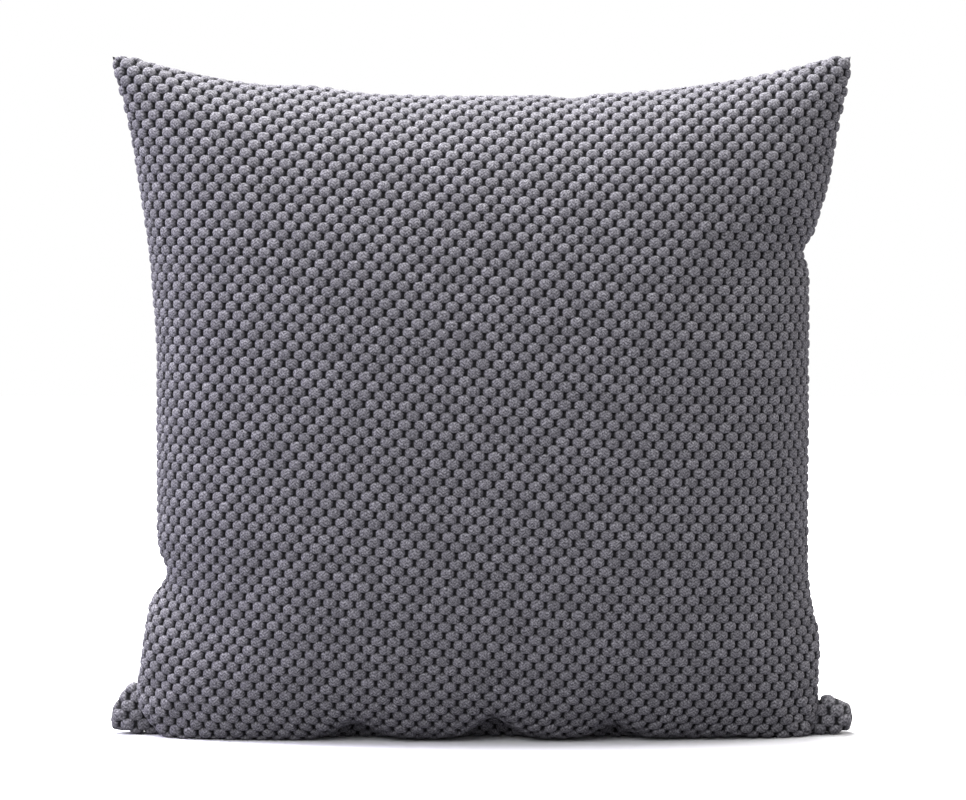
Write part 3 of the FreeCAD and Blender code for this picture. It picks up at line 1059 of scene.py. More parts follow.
@dataclass(frozen=True)
class ZipGroove:
    """The groove along the bottom seam, where the hems turn in to the zip."""

    length: float
    edge_height: float
    edge_gap: float
    half_width: float = 9.0
    fade: float = 9.0
    rise: tuple[float, float] = (8.0, 30.0)
    hem_rise: tuple[float, float] = (12.0, 22.0)
    hem_past: float = 8.0

    def carved(self, points: np.ndarray, side: Side) -> np.ndarray:
        """Lift the fabric beside the bottom seam into the groove.

        Args:
            points: A panel's grid.
            side: Which side of the pillow.

        Returns:
            The grid with its hem turned in.
        """
        points = points.copy()
        along, deep, high = points[..., 0], np.abs(points[..., 1]), points[..., 2]
        beside = 1.0 - smooth_step(np.abs(along), self.length - self.fade, self.length)
        near_floor = 1.0 - smooth_step(high, *self.rise)
        turned = np.exp(-((deep / self.half_width) ** 4)) * near_floor * beside
        points[..., 2] = high + (self.edge_height - high) * turned
        gap = self.edge_gap * beside * near_floor
        points[..., 1] = side.value * np.sqrt(deep**2 + gap**2)
        return points

    def hem(self, points: np.ndarray) -> np.ndarray:
        """Tell where the fabric is turned in to the zip and pressed flat.

        Args:
            points: A panel's grid.

        Returns:
            From 0 where it is free to 1 where it is pressed flat.
        """
        along, deep = np.abs(points[..., 0]), np.abs(points[..., 1])
        turned = 1.0 - smooth_step(deep, self.half_width, self.half_width + 6.0)
        low = 1.0 - smooth_step(points[..., 2], *self.hem_rise)
        return turned * low * (1.0 - smooth_step(along, self.length, self.length + self.hem_past))


@dataclass(frozen=True)
class ClothSettling:
    """Cloth simulation that swells the two panels between their pinned seams."""

    frames: int = 20
    pressure: float = 4.0
    start_depth: float = 0.93
    cap: float = 14.0
    hem: int = 2
    quality: int = 6
    vertex_mass: float = 0.4
    stretch_stiffness: float = 25.0
    shear_stiffness: float = 10.0
    bending_stiffness: float = 4.0
    clearance: float = 0.001

    def settle(self, panels: dict[Side, np.ndarray], held: np.ndarray) -> dict[Side, np.ndarray]:
        """Let the fabric settle under the filling's pressure.

        Args:
            panels: Each side's grid in millimetres.
            held: Mask of the points that stay where they are.

        Returns:
            The settled grids.
        """
        slack = np.where(held, 1.0, self.start_depth)[..., None] * [0.0, 1.0, 0.0] + [1.0, 0.0, 1.0]
        start = {side: points * slack for side, points in panels.items()}
        stacked = np.concatenate([start[side] for side in Side])
        rows, columns = start[Side.FRONT].shape[:2]
        quads = grid_faces(rows, columns)
        faces = np.concatenate([quads, quads[:, ::-1] + rows * columns])
        envelope = face_object("settling_envelope", stacked.reshape(-1, 3), faces)

        group = envelope.vertex_groups.new(name="seams")
        numbers = np.flatnonzero(np.concatenate([held.ravel(), held.ravel()]))
        group.add([int(number) for number in numbers], 1.0, "REPLACE")

        ground = self.ground()
        cloth = envelope.modifiers.new("settling", "CLOTH")
        fabric = cloth.settings
        fabric.quality = self.quality
        fabric.mass = self.vertex_mass
        fabric.tension_stiffness = self.stretch_stiffness
        fabric.compression_stiffness = self.stretch_stiffness
        fabric.shear_stiffness = self.shear_stiffness
        fabric.bending_stiffness = self.bending_stiffness
        fabric.use_pressure = True
        fabric.uniform_pressure_force = self.pressure
        fabric.vertex_group_mass = group.name
        fabric.effector_weights.gravity = 0.0
        cloth.collision_settings.use_collision = True
        cloth.collision_settings.distance_min = self.clearance
        cloth.collision_settings.use_self_collision = False
        cloth.point_cache.frame_start = 1
        cloth.point_cache.frame_end = self.frames
        scene = bpy.context.scene
        for step in range(1, self.frames + 1):
            scene.frame_set(step)
        seen = envelope.evaluated_get(bpy.context.evaluated_depsgraph_get())
        flat = np.empty(len(envelope.data.vertices) * 3, np.float32)
        seen.data.vertices.foreach_get("co", flat)
        scene.frame_set(1)
        settled = flat.reshape(2, rows, columns, 3).astype(float) / MM
        for thing in (envelope, ground):
            bpy.data.objects.remove(thing, do_unlink=True)

        result = {}
        for number, side in enumerate(Side):
            moved = settled[number] - start[side]
            distance = np.linalg.norm(moved, axis=-1, keepdims=True)
            share = np.minimum(1.0, self.cap / np.maximum(distance, 1e-9))
            result[side] = start[side] + moved * share
        return result

    def ground(self) -> bpy.types.Object:
        """Make the surface that the cloth can't pass while it settles.

        Returns:
            The surface as an object.
        """
        ground = level_plane("settling_ground", 400.0, 300.0)
        ground.modifiers.new("ground", "COLLISION")
        ground.collision.thickness_outer = self.clearance
        return ground


# ------------------------------------------------------------------------------------ the cover


@dataclass(frozen=True)
class BubbleStitch:
    """The lattice of bubbles on the flat fabric, in millimetres.

    Rows are set off by half a pitch from each other, and the whole lattice is turned a little on
    the panel, as a cut that isn't quite on the grain is.
    """

    pitch: float = 10.5
    row_pitch: float = 5.8
    half_width: float = 4.5
    half_height: float = 3.7
    rise: float = 2.9
    roundness: float = 2.5
    turn: float = math.radians(2.9)
    levelling: float = 230.0
    unevenness: float = 0.3
    width_spread: float = 0.08
    height_spread: float = 0.06
    rise_spread: float = 0.16
    dome_power: float = 3.2

    def turned(self, across: np.ndarray, up: np.ndarray) -> tuple[np.ndarray, np.ndarray]:
        """Turn the lattice on the panel, by rows that level out towards the sides.

        Args:
            across: Places across the panel.
            up: Places up the panel.

        Returns:
            Places along the rows, and places from row to row.
        """
        slope = math.tan(self.turn)
        quarter = math.pi / 2.0 / self.levelling
        return across - slope * up, up + slope * np.sin(quarter * across) / quarter

    def knit(self, across: np.ndarray, up: np.ndarray, salt: float) -> tuple[np.ndarray, np.ndarray]:
        """Work out the bubbles over the fabric.

        Args:
            across: Places across the panel.
            up: Places up the panel.
            salt: Number that makes this panel's bubbles differ from another's.

        Returns:
            Height from 0 in the gaps to 1 on a bubble, and each place's bubble tone from -1 to 1.
        """
        along, over = self.turned(across, up)
        nearest = np.round(over / self.row_pitch)
        height = np.zeros_like(along)
        tone = np.zeros_like(along)
        for step in (-1, 0, 1):
            row = nearest + step
            shift = 0.5 * np.mod(row, 2.0)
            column = np.round(along / self.pitch - shift)
            luck = [scatter(row, column, salt + number) - 0.5 for number in range(5)]
            right = along - (column + shift) * self.pitch - self.unevenness * luck[0]
            above = over - row * self.row_pitch - self.unevenness * luck[1]
            wide = self.half_width * (1.0 + self.width_spread * luck[2])
            tall = self.half_height * (1.0 + self.height_spread * luck[3])
            reach = (
                np.abs(right / wide) ** self.roundness + np.abs(above / tall) ** self.roundness
            ) ** (1.0 / self.roundness)
            dome = np.sqrt(np.clip(1.0 - reach**self.dome_power, 0.0, None))
            dome *= 1.0 + self.rise_spread * luck[4]
            tone = np.where(dome > height, 2.0 * luck[4], tone)
            height = np.maximum(height, dome)
        return height, tone


@dataclass
class Cover:
    """The knitted cover: two panels of bubble knit, sewn round their edges."""

    form: PillowForm
    groove: ZipGroove
    settling: ClothSettling
    stitch: BubbleStitch = field(default_factory=BubbleStitch)
    sampling: float = 0.8
    edge_fade: float = 3.0
    hem_flatness: float = 0.7
    lowest: float = 0.4
    grids: dict[Side, np.ndarray] = field(default_factory=dict)

    def shape(self) -> None:
        """Form the two panels and let them settle."""
        self.grids = {side: self.groove.carved(self.form.panel(side), side) for side in Side}
        held = self.form.held(self.settling.hem)
        self.grids = self.settling.settle(self.grids, held)

    def spread(self, count: int) -> np.ndarray:
        """Give the weights that carry a coarse row of points to a fine one, smoothly.

        Args:
            count: How many points the fine row has.

        Returns:
            Fine by coarse weights of a Catmull-Rom curve.
        """
        coarse = self.form.count
        place = np.linspace(0.0, coarse - 1.0, count)
        left = np.clip(np.floor(place).astype(int), 0, coarse - 2)
        part = place - left
        weights = np.zeros((count, coarse))
        factors = (
            -0.5 * part + part**2 - 0.5 * part**3,
            1.0 - 2.5 * part**2 + 1.5 * part**3,
            0.5 * part + 2.0 * part**2 - 1.5 * part**3,
            -0.5 * part**2 + 0.5 * part**3,
        )
        rows = np.arange(count)
        for offset, factor in zip((-1, 0, 1, 2), factors):
            near = left + offset
            low, high = near < 0, near > coarse - 1
            inside = ~(low | high)
            weights[rows[inside], near[inside]] += factor[inside]
            for beyond, edge, next_in in ((low, 0, 1), (high, coarse - 1, coarse - 2)):
                weights[rows[beyond], edge] += 2.0 * factor[beyond]
                weights[rows[beyond], next_in] -= factor[beyond]
        return weights

    def unrolled(self, points: np.ndarray) -> np.ndarray:
        """Measure how the knit lies on the form, from its middle line and a level line.

        The fabric of an ear is measured flat instead.

        Args:
            points: A grid of points.

        Returns:
            Signed lengths across and up, on the last axis.
        """
        lengths = []
        middle = (0.0, self.form.height / 2.0)
        for way, axis, level in ((1, 0, middle[0]), (0, 2, middle[1])):
            lines = points if way else points.transpose(1, 0, 2)
            steps = np.linalg.norm(np.diff(lines, axis=1), axis=2)
            run = np.concatenate([np.zeros((len(lines), 1)), np.cumsum(steps, axis=1)], axis=1)
            quarter = run.shape[1] // 4
            inner = slice(quarter, -quarter)
            start = [
                np.interp(level, line[inner, axis], far[inner]) for line, far in zip(lines, run)
            ]
            run -= np.array(start)[:, None]
            lengths.append(run if way else run.T)
        across, up = np.meshgrid(self.form.fabric(), self.form.fabric())
        for ear in self.form.ears:
            share = ear.reading(across, up, self.form.flat / 2.0)[0]
            flat = 1.0 - smooth_step(share, 1.0, 1.25)
            lengths[0] += flat * (points[..., 0] - lengths[0])
            lengths[1] += flat * (points[..., 2] - lengths[1])
        return np.stack(lengths, axis=-1)

    def fine(self, side: Side) -> tuple[np.ndarray, np.ndarray, np.ndarray]:
        """Give a panel's fine surface and its outward normals.

        Args:
            side: Which side of the pillow.

        Returns:
            Points, unit normals and places on the knit, on the fine grid.
        """
        count = int(self.form.flat / self.sampling) + 1
        weights = self.spread(count)
        points = np.einsum("ra,abk,cb->rck", weights, self.grids[side], weights, optimize=True)
        normals = outward(points, side)
        knit = self.unrolled(self.grids[side])
        knit = np.einsum("ra,abk,cb->rck", weights, knit, weights, optimize=True)
        return points, normals, knit

    def knitted(self, side: Side) -> bpy.types.Object:
        """Make one panel with all its bubbles.

        Args:
            side: Which side of the pillow.

        Returns:
            The panel as an object.
        """
        points, normals, knit = self.fine(side)
        places = np.abs(np.linspace(-self.form.flat / 2.0, self.form.flat / 2.0, len(points)))
        margin = self.form.flat / 2.0 - np.maximum.outer(places, places)
        across, up = knit[..., 0], knit[..., 1]
        height, tone = self.stitch.knit(across, up, side.value + 2.0)
        flat = 1.0 - self.hem_flatness * self.groove.hem(points)
        edge = smooth_step(margin, 0.0, self.edge_fade) * flat
        surface = points + normals * (self.stitch.rise * height * edge)[..., None]
        surface[..., 2] = np.maximum(surface[..., 2], self.lowest)
        name = f"cover_{side.name.lower()}_knit"
        made = grid_object(name, surface, flip=side is Side.BACK)
        along, over = self.stitch.turned(across, up)
        fabric = np.stack([along, over, np.full_like(along, 40.0 * side.value)], axis=-1)
        add_attribute(made, "fabric", fabric.reshape(-1, 3))
        add_attribute(made, "tone", tone.ravel())
        return made

    def build(self, finish: bpy.types.Material) -> None:
        """Make and dress both panels.

        Args:
            finish: The knit's material.
        """
        for side in Side:
            made = self.knitted(side)
            panel = f"cover_{side.name.lower()}_panel"
            settle_piece(made, finish, "pillow", "bubble_knit", panel)


@dataclass(frozen=True)
class OverlockSeam:
    """The allowance inside a sewn edge: two trimmed layers, wrapped by an overlock thread."""

    allowance: float = 7.0
    thickness: float = 1.6
    stitch_length: float = 3.2
    thread_radius: float = 0.28
    inset: float = 2.0

    def build(self, name: str, edge: np.ndarray, inward: np.ndarray) -> bpy.types.Object:
        """Make the allowance and the thread round it.

        Args:
            name: The piece's name.
            edge: Points along the sewn line.
            inward: For each, the unit vector away from the line into the pillow.

        Returns:
            The seam as one object.
        """
        middle = edge + inward * (self.inset + self.allowance / 2.0)
        strip = ribbon(middle, inward * self.allowance / 2.0, self.thickness)
        turns = np.arange(len(edge))
        over = self.thickness / 2.0 + self.thread_radius * 0.6
        lift = np.where(turns % 2 == 0, over, -over)[:, None] * [0.0, 1.0, 0.0]
        reach = np.where((turns // 2) % 2 == 0, self.inset, self.inset + self.allowance)
        wrap = edge + inward * reach[:, None] + lift
        thread = tubes([wrap], self.thread_radius, 5)
        points = np.concatenate([strip[0], thread[0]])
        faces = np.concatenate([strip[1], thread[1] + len(strip[0])])
        return face_object(name, points, faces)


@dataclass
class CoverSeams:
    """The cover's five sewn lines, overlocked inside."""

    cover: Cover
    stitch: OverlockSeam = field(default_factory=OverlockSeam)
    closed_from: float = 196.5
    closed_length: float = 22.0
    inner_step: int = 6
    clear_of_corner: int = 14
    clear_of_ear: int = 30

    def line(self, edge: Edge) -> tuple[np.ndarray, np.ndarray]:
        """Give a sewn line midway between the panels, and the way into the pillow.

        Args:
            edge: Which side of the panels.

        Returns:
            Points and unit vectors.
        """
        grids = self.cover.grids
        middle = (grids[Side.FRONT] + grids[Side.BACK]) / 2.0
        step = self.inner_step
        border, inner = {
            Edge.LEFT: (middle[:, 0], middle[:, step]),
            Edge.RIGHT: (middle[:, -1], middle[:, -1 - step]),
            Edge.TOP: (middle[-1], middle[-1 - step]),
            Edge.BOTTOM: (middle[0], middle[step]),
        }[edge]
        path = resampled(border, self.stitch.stitch_length / 2.0)
        towards = resampled(inner, self.stitch.stitch_length / 2.0)
        places = np.linspace(0.0, 1.0, len(towards))
        aims = np.linspace(0.0, 1.0, len(path))
        towards = np.stack([np.interp(aims, places, towards[:, axis]) for axis in range(3)], -1)
        inward = (towards - path) * [1.0, 0.0, 1.0]
        return path, inward / np.linalg.norm(inward, axis=1, keepdims=True)

    def build(self, finish: bpy.types.Material) -> None:
        """Make and dress the seams.

        Args:
            finish: The overlock thread's material.
        """
        for edge in (Edge.LEFT, Edge.RIGHT, Edge.TOP):
            path, inward = self.line(edge)
            start = self.clear_of_corner if edge is Edge.TOP else self.clear_of_ear
            kept = slice(start, -self.clear_of_corner)
            name = f"cover_seam_{edge.value}"
            made = self.stitch.build(f"{name}_overlock", path[kept], inward[kept])
            settle_piece(made, finish, "pillow", "cover_thread", name)
        path, _ = self.line(Edge.BOTTOM)
        upward = np.tile([0.0, 0.0, 1.0], (len(path), 1))
        for word, way in (("left", -1.0), ("right", 1.0)):
            beside = way * path[:, 0]
            kept = (beside > self.closed_from) & (beside < self.closed_from + self.closed_length)
            name = f"cover_seam_bottom_{word}"
            made = self.stitch.build(f"{name}_overlock", path[kept], upward[kept])
            settle_piece(made, finish, "pillow", "cover_thread", name)


@dataclass(frozen=True)
class SewnLabel:
    """A small satin label, folded in half and caught in a seam, as a care label is. It is blank."""

    node: str
    depth_in: float
    length: float = 56.0
    thickness: float = 0.25
    fold: float = 0.7

    def build(self, cover: Cover, finish: bpy.types.Material) -> None:
        """Make and dress the label, lying under the back panel beside its seam.

        Args:
            cover: The cover that it lies in.
            finish: The label's satin.
        """
        low, high = (np.array(corner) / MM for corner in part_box(self.node))
        grid = cover.grids[Side.BACK]
        level = (low[2] + high[2]) / 2.0
        runs = []
        for depth in (self.depth_in, self.depth_in + self.fold):
            layer = grid - outward(grid, Side.BACK) * depth
            if low[0] > 0:
                layer = layer[:, ::-1]
            columns = layer.transpose(1, 0, 2)[: layer.shape[1] // 2]
            line = [[np.interp(level, up[:, 2], up[:, axis]) for axis in range(3)] for up in columns]
            runs.append(resampled(np.array(line), 1.0)[: int(self.length)])
        path = resampled(np.concatenate([runs[0], runs[1][::-1]]), 1.0)
        across = np.tile([0.0, 0.0, (high[2] - low[2]) / 2.0], (len(path), 1))
        made = face_object(f"{self.node}_folded", *ribbon(path, across, self.thickness))
        settle_piece(made, finish, "pillow", "label_satin", self.node)


# ------------------------------------------------------------------------------------ the insert


@dataclass
class Insert:
    """The insert: a plain cotton casing filled with carded polyester, sewn on four sides."""

    cover: Cover
    casing_depth: float = 6.5
    fill_depth: float = 8.5
    smaller_by: float = 3.0
    border_reach: float = 30.0
    clear_of_zip: float = 12.0
    corner_share: float = 1.4
    least_depth: float = 0.5
    thread_radius: float = 0.35
    stitch_length: float = 2.5
    stitch_arch: float = 0.7
    lump_waves: tuple[float, float, float] = (21.0, 26.0, 47.0)
    lump_depth: float = 0.5
    lump_inset: float = 1.2

    def inner(self, side: Side, depth: float) -> np.ndarray:
        """Give a layer inside the cover.

        Args:
            side: Which side of the pillow.
            depth: How far inside the cover's fabric, in millimetres.

        Returns:
            A grid of points.
        """
        form = self.cover.form
        fabric = form.fabric()
        across, up = np.meshgrid(fabric, fabric)
        half = form.flat / 2.0
        beside = half - np.maximum(np.abs(across), np.abs(up))
        points = self.cover.grids[side]
        layer = points - outward(points, side) * depth
        smaller = 1.0 - (self.smaller_by + depth) / half
        layer = sampled(layer, across * smaller, up * smaller, fabric)
        for ear in form.ears:
            share, slant, _ = ear.reading(across, up, half)
            along = ear.way * (half - ear.fabric_along * self.corner_share * (1.0 + slant) / 2.0)
            rise = ear.fabric_up * self.corner_share * (1.0 - slant) / 2.0 - half
            moved = sampled(layer, along, rise, fabric)
            layer = np.where((share < self.corner_share)[..., None], moved, layer)
        layer[..., 1] *= np.sqrt(smooth_step(beside, 0.0, self.border_reach))
        height = np.maximum(layer[..., 2], self.clear_of_zip + depth - self.casing_depth)
        deep = side.value * np.maximum(side.value * layer[..., 1], self.least_depth)
        return np.stack([layer[..., 0], deep, height], axis=-1)

    def build(
        self,
        cotton: bpy.types.Material,
        thread: bpy.types.Material,
        fibre: bpy.types.Material,
    ) -> None:
        """Make and dress the casing, its seams and the filling.

        Args:
            cotton: The casing's cloth.
            thread: The sewing thread.
            fibre: The filling.
        """
        casing = {side: self.inner(side, self.casing_depth) for side in Side}
        for side, grid in casing.items():
            name = f"insert_casing_{side.name.lower()}"
            made = grid_object(f"{name}_cloth", grid, flip=side is Side.BACK)
            settle_piece(made, cotton, "pillow", "casing_cloth", name)
        middle = (casing[Side.FRONT] + casing[Side.BACK]) / 2.0
        for name, border in (
            ("insert_closing_seam", middle[-1]),
            ("insert_seam_left", middle[:, 0]),
            ("insert_seam_right", middle[:, -1]),
            ("insert_seam_bottom", middle[0]),
        ):
            made = self.stitched(f"{name}_stitches", border)
            settle_piece(made, thread, "pillow", "casing_thread", name)
        self.fill(fibre)

    def stitched(self, name: str, border: np.ndarray) -> bpy.types.Object:
        """Make a row of lock stitches that bridges the two cloths along a border.

        Args:
            name: The piece's name.
            border: Points along the border.

        Returns:
            The stitches as one object.
        """
        path = resampled(border, self.stitch_length)
        stitches = []
        for start, end in zip(path[:-1], path[1:]):
            share = np.linspace(0.06, 0.94, 6)[:, None]
            arch = np.sin(math.pi * share) * [0.0, self.stitch_arch, 0.0]
            stitches.append(start + (end - start) * share + arch)
        return face_object(name, *tubes(stitches, self.thread_radius, 5))

    def fill(self, fibre: bpy.types.Material) -> None:
        """Make the filling: a closed, slightly lumpy body of fibre.

        Args:
            fibre: Its material.
        """
        halves = [self.inner(side, self.fill_depth) for side in Side]
        count = self.cover.form.count
        across, up = np.meshgrid(*(self.cover.form.fabric(),) * 2)
        short, tall, long = self.lump_waves
        lumps = np.sin(across / short) * np.sin(up / tall) + np.sin(across / long + 1.0)
        for side, half in zip(Side, halves):
            bulk = np.minimum(np.abs(half[..., 1]) / 30.0, 1.0)
            half[..., 1] -= side.value * (self.lump_inset + self.lump_depth * lumps) * bulk
        index = np.arange(count * count).reshape(count, count)
        quads = grid_faces(count, count)
        rim = np.concatenate([index[0], index[1:, -1], index[-1, -2::-1], index[-2::-1, 0]])
        after = np.roll(rim, -1)
        second = count * count
        wall = np.stack([rim, rim + second, after + second, after], axis=-1)[:-1]
        faces = np.concatenate([quads, quads[:, ::-1] + second, wall])
        points = np.concatenate([half.reshape(-1, 3) for half in halves])
        made = face_object("insert_fill_fibre", points, faces)
        settle_piece(made, fibre, "pillow", "polyester_fill", "insert_fill")


# ------------------------------------------------------------------------------------ the zip


@dataclass(frozen=True)
class ZipCoil:
    """One side of a coil zip: a nylon wire wound in a flattened spiral along the tape's edge."""

    node: str
    turn_pitch: float = 1.5
    wire_radius: float = 0.34
    points_per_turn: int = 14

    def build(self, finish: bpy.types.Material) -> None:
        """Make and dress the coil inside the box of its solid.

        Args:
            finish: The nylon's material.
        """
        low, high = (np.array(corner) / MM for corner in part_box(self.node))
        middle, half = (low + high) / 2.0, (high - low) / 2.0 - self.wire_radius
        turns = int((high[0] - low[0] - 2.0 * self.wire_radius) / self.turn_pitch)
        angle = np.linspace(0.0, 2.0 * math.pi * turns, turns * self.points_per_turn)
        x = np.linspace(low[0] + self.wire_radius, high[0] - self.wire_radius, len(angle))
        squared = [np.sign(wave(angle)) * np.abs(wave(angle)) ** 0.8 for wave in (np.cos, np.sin)]
        path = np.stack([x, middle[1] + half[1] * squared[0], middle[2] + half[2] * squared[1]], -1)
        made = face_object(f"{self.node}_spiral", *tubes([path], self.wire_radius, 6))
        settle_piece(made, finish, "pillow", "zip_coil", self.node)


@dataclass(frozen=True)
class ZipStitching:
    """The row of lock stitches that holds a tape to the hem."""

    node: str
    stitch_length: float = 3.0
    thread_radius: float = 0.14

    def build(self, finish: bpy.types.Material) -> None:
        """Make and dress the stitches inside the box of their solid.

        Args:
            finish: The thread's material.
        """
        low, high = (np.array(corner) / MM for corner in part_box(self.node))
        middle = (low + high) / 2.0
        count = int((high[0] - low[0]) / self.stitch_length)
        starts = np.linspace(low[0], high[0], count + 1)
        stitches = []
        for start, end in zip(starts[:-1], starts[1:]):
            share = np.linspace(0.1, 0.9, 6)
            x = start + (end - start) * share
            y = middle[1] + 0.12 * (share - 0.5)
            z = low[2] + 0.15 * np.sin(math.pi * (share - 0.1) / 0.8)
            stitches.append(np.stack([x, y, z], axis=-1))
        made = face_object(f"{self.node}_stitches", *tubes(stitches, self.thread_radius, 6))
        settle_piece(made, finish, "pillow", "zip_thread", self.node)


# ------------------------------------------------------------------------------------ the studio


@dataclass
class Studio:
    """Plain pale floor, soft light from above and the left, and the camera."""

    lens: float = 120.0
    sensor: float = 36.0
    picture_width: float = 0.629
    elevation: float = 3.2
    floor_reach: float = 4000.0
    target: tuple[float, float, float] = (0.0012, 0.0, 0.2185)

    def build(self) -> None:
        """Make the floor, the lights, the surroundings and the camera."""
        scene = bpy.context.scene
        scene.view_settings.view_transform = "Standard"
        floor = level_plane("floor", self.floor_reach, self.floor_reach)
        floor.data.materials.append(StudioSweep().build())
        floor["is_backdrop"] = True
        self.surroundings(scene)
        # The key light hangs above and a little behind, so the top seam is the brightest line.
        self.soft_box("overhead_box", (-0.5, 0.3, 1.9), (0.0, 0.0, 0.2), 1.6, 130.0, "ffffff")
        self.soft_box("front_box", (-1.1, -2.2, 1.9), (0.0, 0.0, 0.2), 1.6, 42.0, "ffffff")
        self.soft_box("left_box", (-1.9, -0.2, 1.3), (0.0, 0.0, 0.3), 1.2, 33.0, "dcd4ff")
        self.soft_box("right_box", (2.0, 0.3, 1.0), (0.0, 0.0, 0.25), 1.2, 17.0, "fffaf5")
        self.camera(scene)

    def surroundings(self, scene: bpy.types.Scene) -> None:
        """Make white surroundings that light the pillow dimly.

        Args:
            scene: The scene that they belong to.
        """
        world = bpy.data.worlds.new("white_studio")
        scene.world = world
        world.use_nodes = True
        tree = world.node_tree
        tree.nodes.clear()
        path = add_node(tree, "ShaderNodeLightPath")
        seen = add_node(tree, "ShaderNodeBackground", {"Color": linear("ffffff"), "Strength": 1.0})
        thrown = add_node(tree, "ShaderNodeBackground", {"Color": linear("fafaff"), "Strength": 0.45})
        mixed = add_node(
            tree,
            "ShaderNodeMixShader",
            {0: path.outputs["Is Camera Ray"], 1: thrown.outputs[0], 2: seen.outputs[0]},
        )
        add_node(tree, "ShaderNodeOutputWorld", {"Surface": mixed.outputs[0]})

    @staticmethod
    def soft_box(
        name: str,
        place: tuple[float, float, float],
        target: tuple[float, float, float],
        size: float,
        power: float,
        colour: str,
    ) -> None:
        """Make a square soft light that points at a target.

        Args:
            name: The light's name.
            place: Where it is, in metres.
            target: What it points at.
            size: Its side, in metres.
            power: Its power in watts.
            colour: Its colour as sRGB hex.
        """
        light = bpy.data.lights.new(name, "AREA")
        light.shape = "SQUARE"
        light.size = size
        light.energy = power
        light.color = linear(colour)[:3]
        made = bpy.data.objects.new(name, light)
        made.location = place
        made.rotation_mode = "QUATERNION"
        made.rotation_quaternion = (Vector(target) - Vector(place)).to_track_quat("-Z", "Y")
        bpy.context.scene.collection.objects.link(made)

    def camera(self, scene: bpy.types.Scene) -> None:
        """Place the camera in front of the pillow, a little above it.

        Args:
            scene: The scene that it films.
        """
        data = bpy.data.cameras.new("camera")
        data.lens = self.lens
        data.sensor_width = self.sensor
        distance = self.picture_width * self.lens / self.sensor
        tilt = math.radians(self.elevation)
        back = Vector((0.0, -math.cos(tilt), math.sin(tilt)))
        made = bpy.data.objects.new("camera", data)
        made.location = Vector(self.target) + back * distance
        made.rotation_mode = "QUATERNION"
        made.rotation_quaternion = (-back).to_track_quat("-Z", "Y")
        scene.collection.objects.link(made)
        scene.camera = made


# ------------------------------------------------------------------------------------ the build


def make_finishes() -> dict[str, bpy.types.Material]:
    """Make every finish but the knit, by the record's slot names."""
    return {
        "zip_tape": PlainWeave("polyester_zip_tape_woven", "4a494c", thread_mm=0.5).build(),
        "zip_coil": SpeckledSolid("nylon_coil_extruded", "434245", 0.8, 0.45).build(),
        "zip_metal": SpeckledSolid(
            "zinc_die_cast_lacquered", "5b5a5d", 0.6, 0.35, metallic=0.6, coat=0.4
        ).build(),
        "zip_thread": PlainWeave("polyester_thread_spun", "57565a", thread_mm=0.4).build(),
        "cover_thread": PlainWeave("overlock_thread_textured", "4f4e52", thread_mm=0.5).build(),
        "label_satin": PlainWeave(
            "satin_label_woven", "efeeea", thread_mm=0.3, roughness=0.5
        ).build(),
        "casing_cloth": PlainWeave("cotton_casing_plain_woven", "f1f0ec", thread_mm=0.7).build(),
        "casing_thread": PlainWeave("cotton_thread_spun", "f4f3f0", thread_mm=0.4).build(),
        "polyester_fill": SpeckledSolid(
            "polyester_fibre_carded", "f6f6f4", 6.0, 0.95, 0.8, 0.06, sheen=0.5
        ).build(),
    }


def dress_solids(frame: dict, finishes: dict[str, bpy.types.Material]) -> None:
    """Dress the CAD nodes, most of which are shown as they are only in the zip.

    Args:
        finishes: Materials by slot name.
    """
    slots = {part["node"]: part["material_slot"] for part in frame["record"]["subparts"]}
    for name, node in frame["nodes"].items():
        finish = finishes.get(slots[name])
        if finish is None:
            continue
        if not node.material_slots:
            node.data.materials.append(finish)
        for slot in node.material_slots:
            slot.material = finish


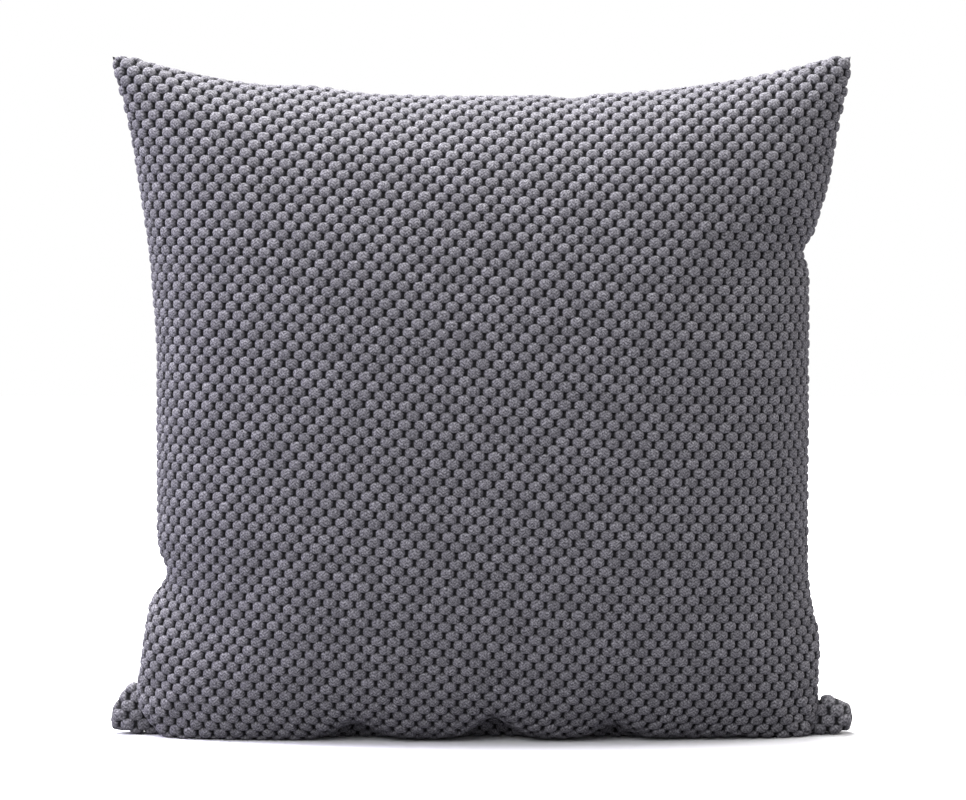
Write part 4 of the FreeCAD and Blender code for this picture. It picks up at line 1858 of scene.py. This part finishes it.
def main() -> None:
    """Load the frame, build every piece, log its vertex count, and set up the studio."""
    logging.basicConfig(level=logging.INFO, format="%(name)s: %(message)s")
    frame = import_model()
    cad_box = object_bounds()
    low, high = (np.array(corner) / MM for corner in cad_box)
    finishes = make_finishes()
    dress_solids(frame, finishes)

    tape_low = np.array(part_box("zip_tape_back")[0]) / MM
    form = PillowForm(
        height=high[2],
        half_depth=high[1] - 1.5,
        puckers=(
            Pucker(Edge.LEFT, -126.0, 10.5, 12.0, 30.0, 8.0),
            Pucker(Edge.RIGHT, 105.0, 5.0, 8.0, 30.0, 4.0),
            Pucker(Edge.TOP, 60.0, 3.0, 9.0, 22.0, 3.0),
            Pucker(Edge.TOP, -112.0, -3.5, 20.0, 25.0),
        ),
        lifts=(
            BellyLift(-80.0, 13.0, 18.0),
            BellyLift(8.0, 16.0, 17.0),
            BellyLift(85.0, 11.0, 15.0),
        ),
        ears=(
            CornerEar(
                way=-1.0,
                fabric_along=58.0,
                fabric_up=38.0,
                tip=(-1.5 - high[0], 8.5),
                neck_high=(-220.0, 34.0),
                neck_low=(-187.0, 4.0),
                half_thickness=7.5,
                bulb=0.27,
                overhang=22.0,
                reach=60.0,
            ),
            CornerEar(
                way=1.0,
                fabric_along=38.0,
                fabric_up=34.0,
                tip=(high[0] + 2.0, 9.5),
                neck_high=(215.0, 21.0),
                neck_low=(207.0, 4.0),
                half_thickness=10.0,
                bulb=0.85,
                overhang=15.0,
                reach=45.0,
                pleats=6.0,
                pleat_depth=2.5,
            ),
        ),
    )
    groove = ZipGroove(length=high[0] * 0.815, edge_height=tape_low[2], edge_gap=3.7)
    cover = Cover(form, groove, ClothSettling())
    cover.shape()
    cover.build(BubbleKnit(cover.stitch).build())
    CoverSeams(cover).build(finishes["cover_thread"])
    for node, depth_in in (("cover_care_label", 3.4), ("insert_care_label", 4.8)):
        SewnLabel(node, depth_in).build(cover, finishes["label_satin"])
    Insert(cover).build(
        finishes["casing_cloth"], finishes["casing_thread"], finishes["polyester_fill"]
    )
    for side in Side:
        word = side.name.lower()
        ZipCoil(f"zip_coil_{word}").build(finishes["zip_coil"])
        ZipStitching(f"zip_stitching_{word}").build(finishes["zip_thread"])

    Studio().build()


if __name__ == "__main__":
    main()
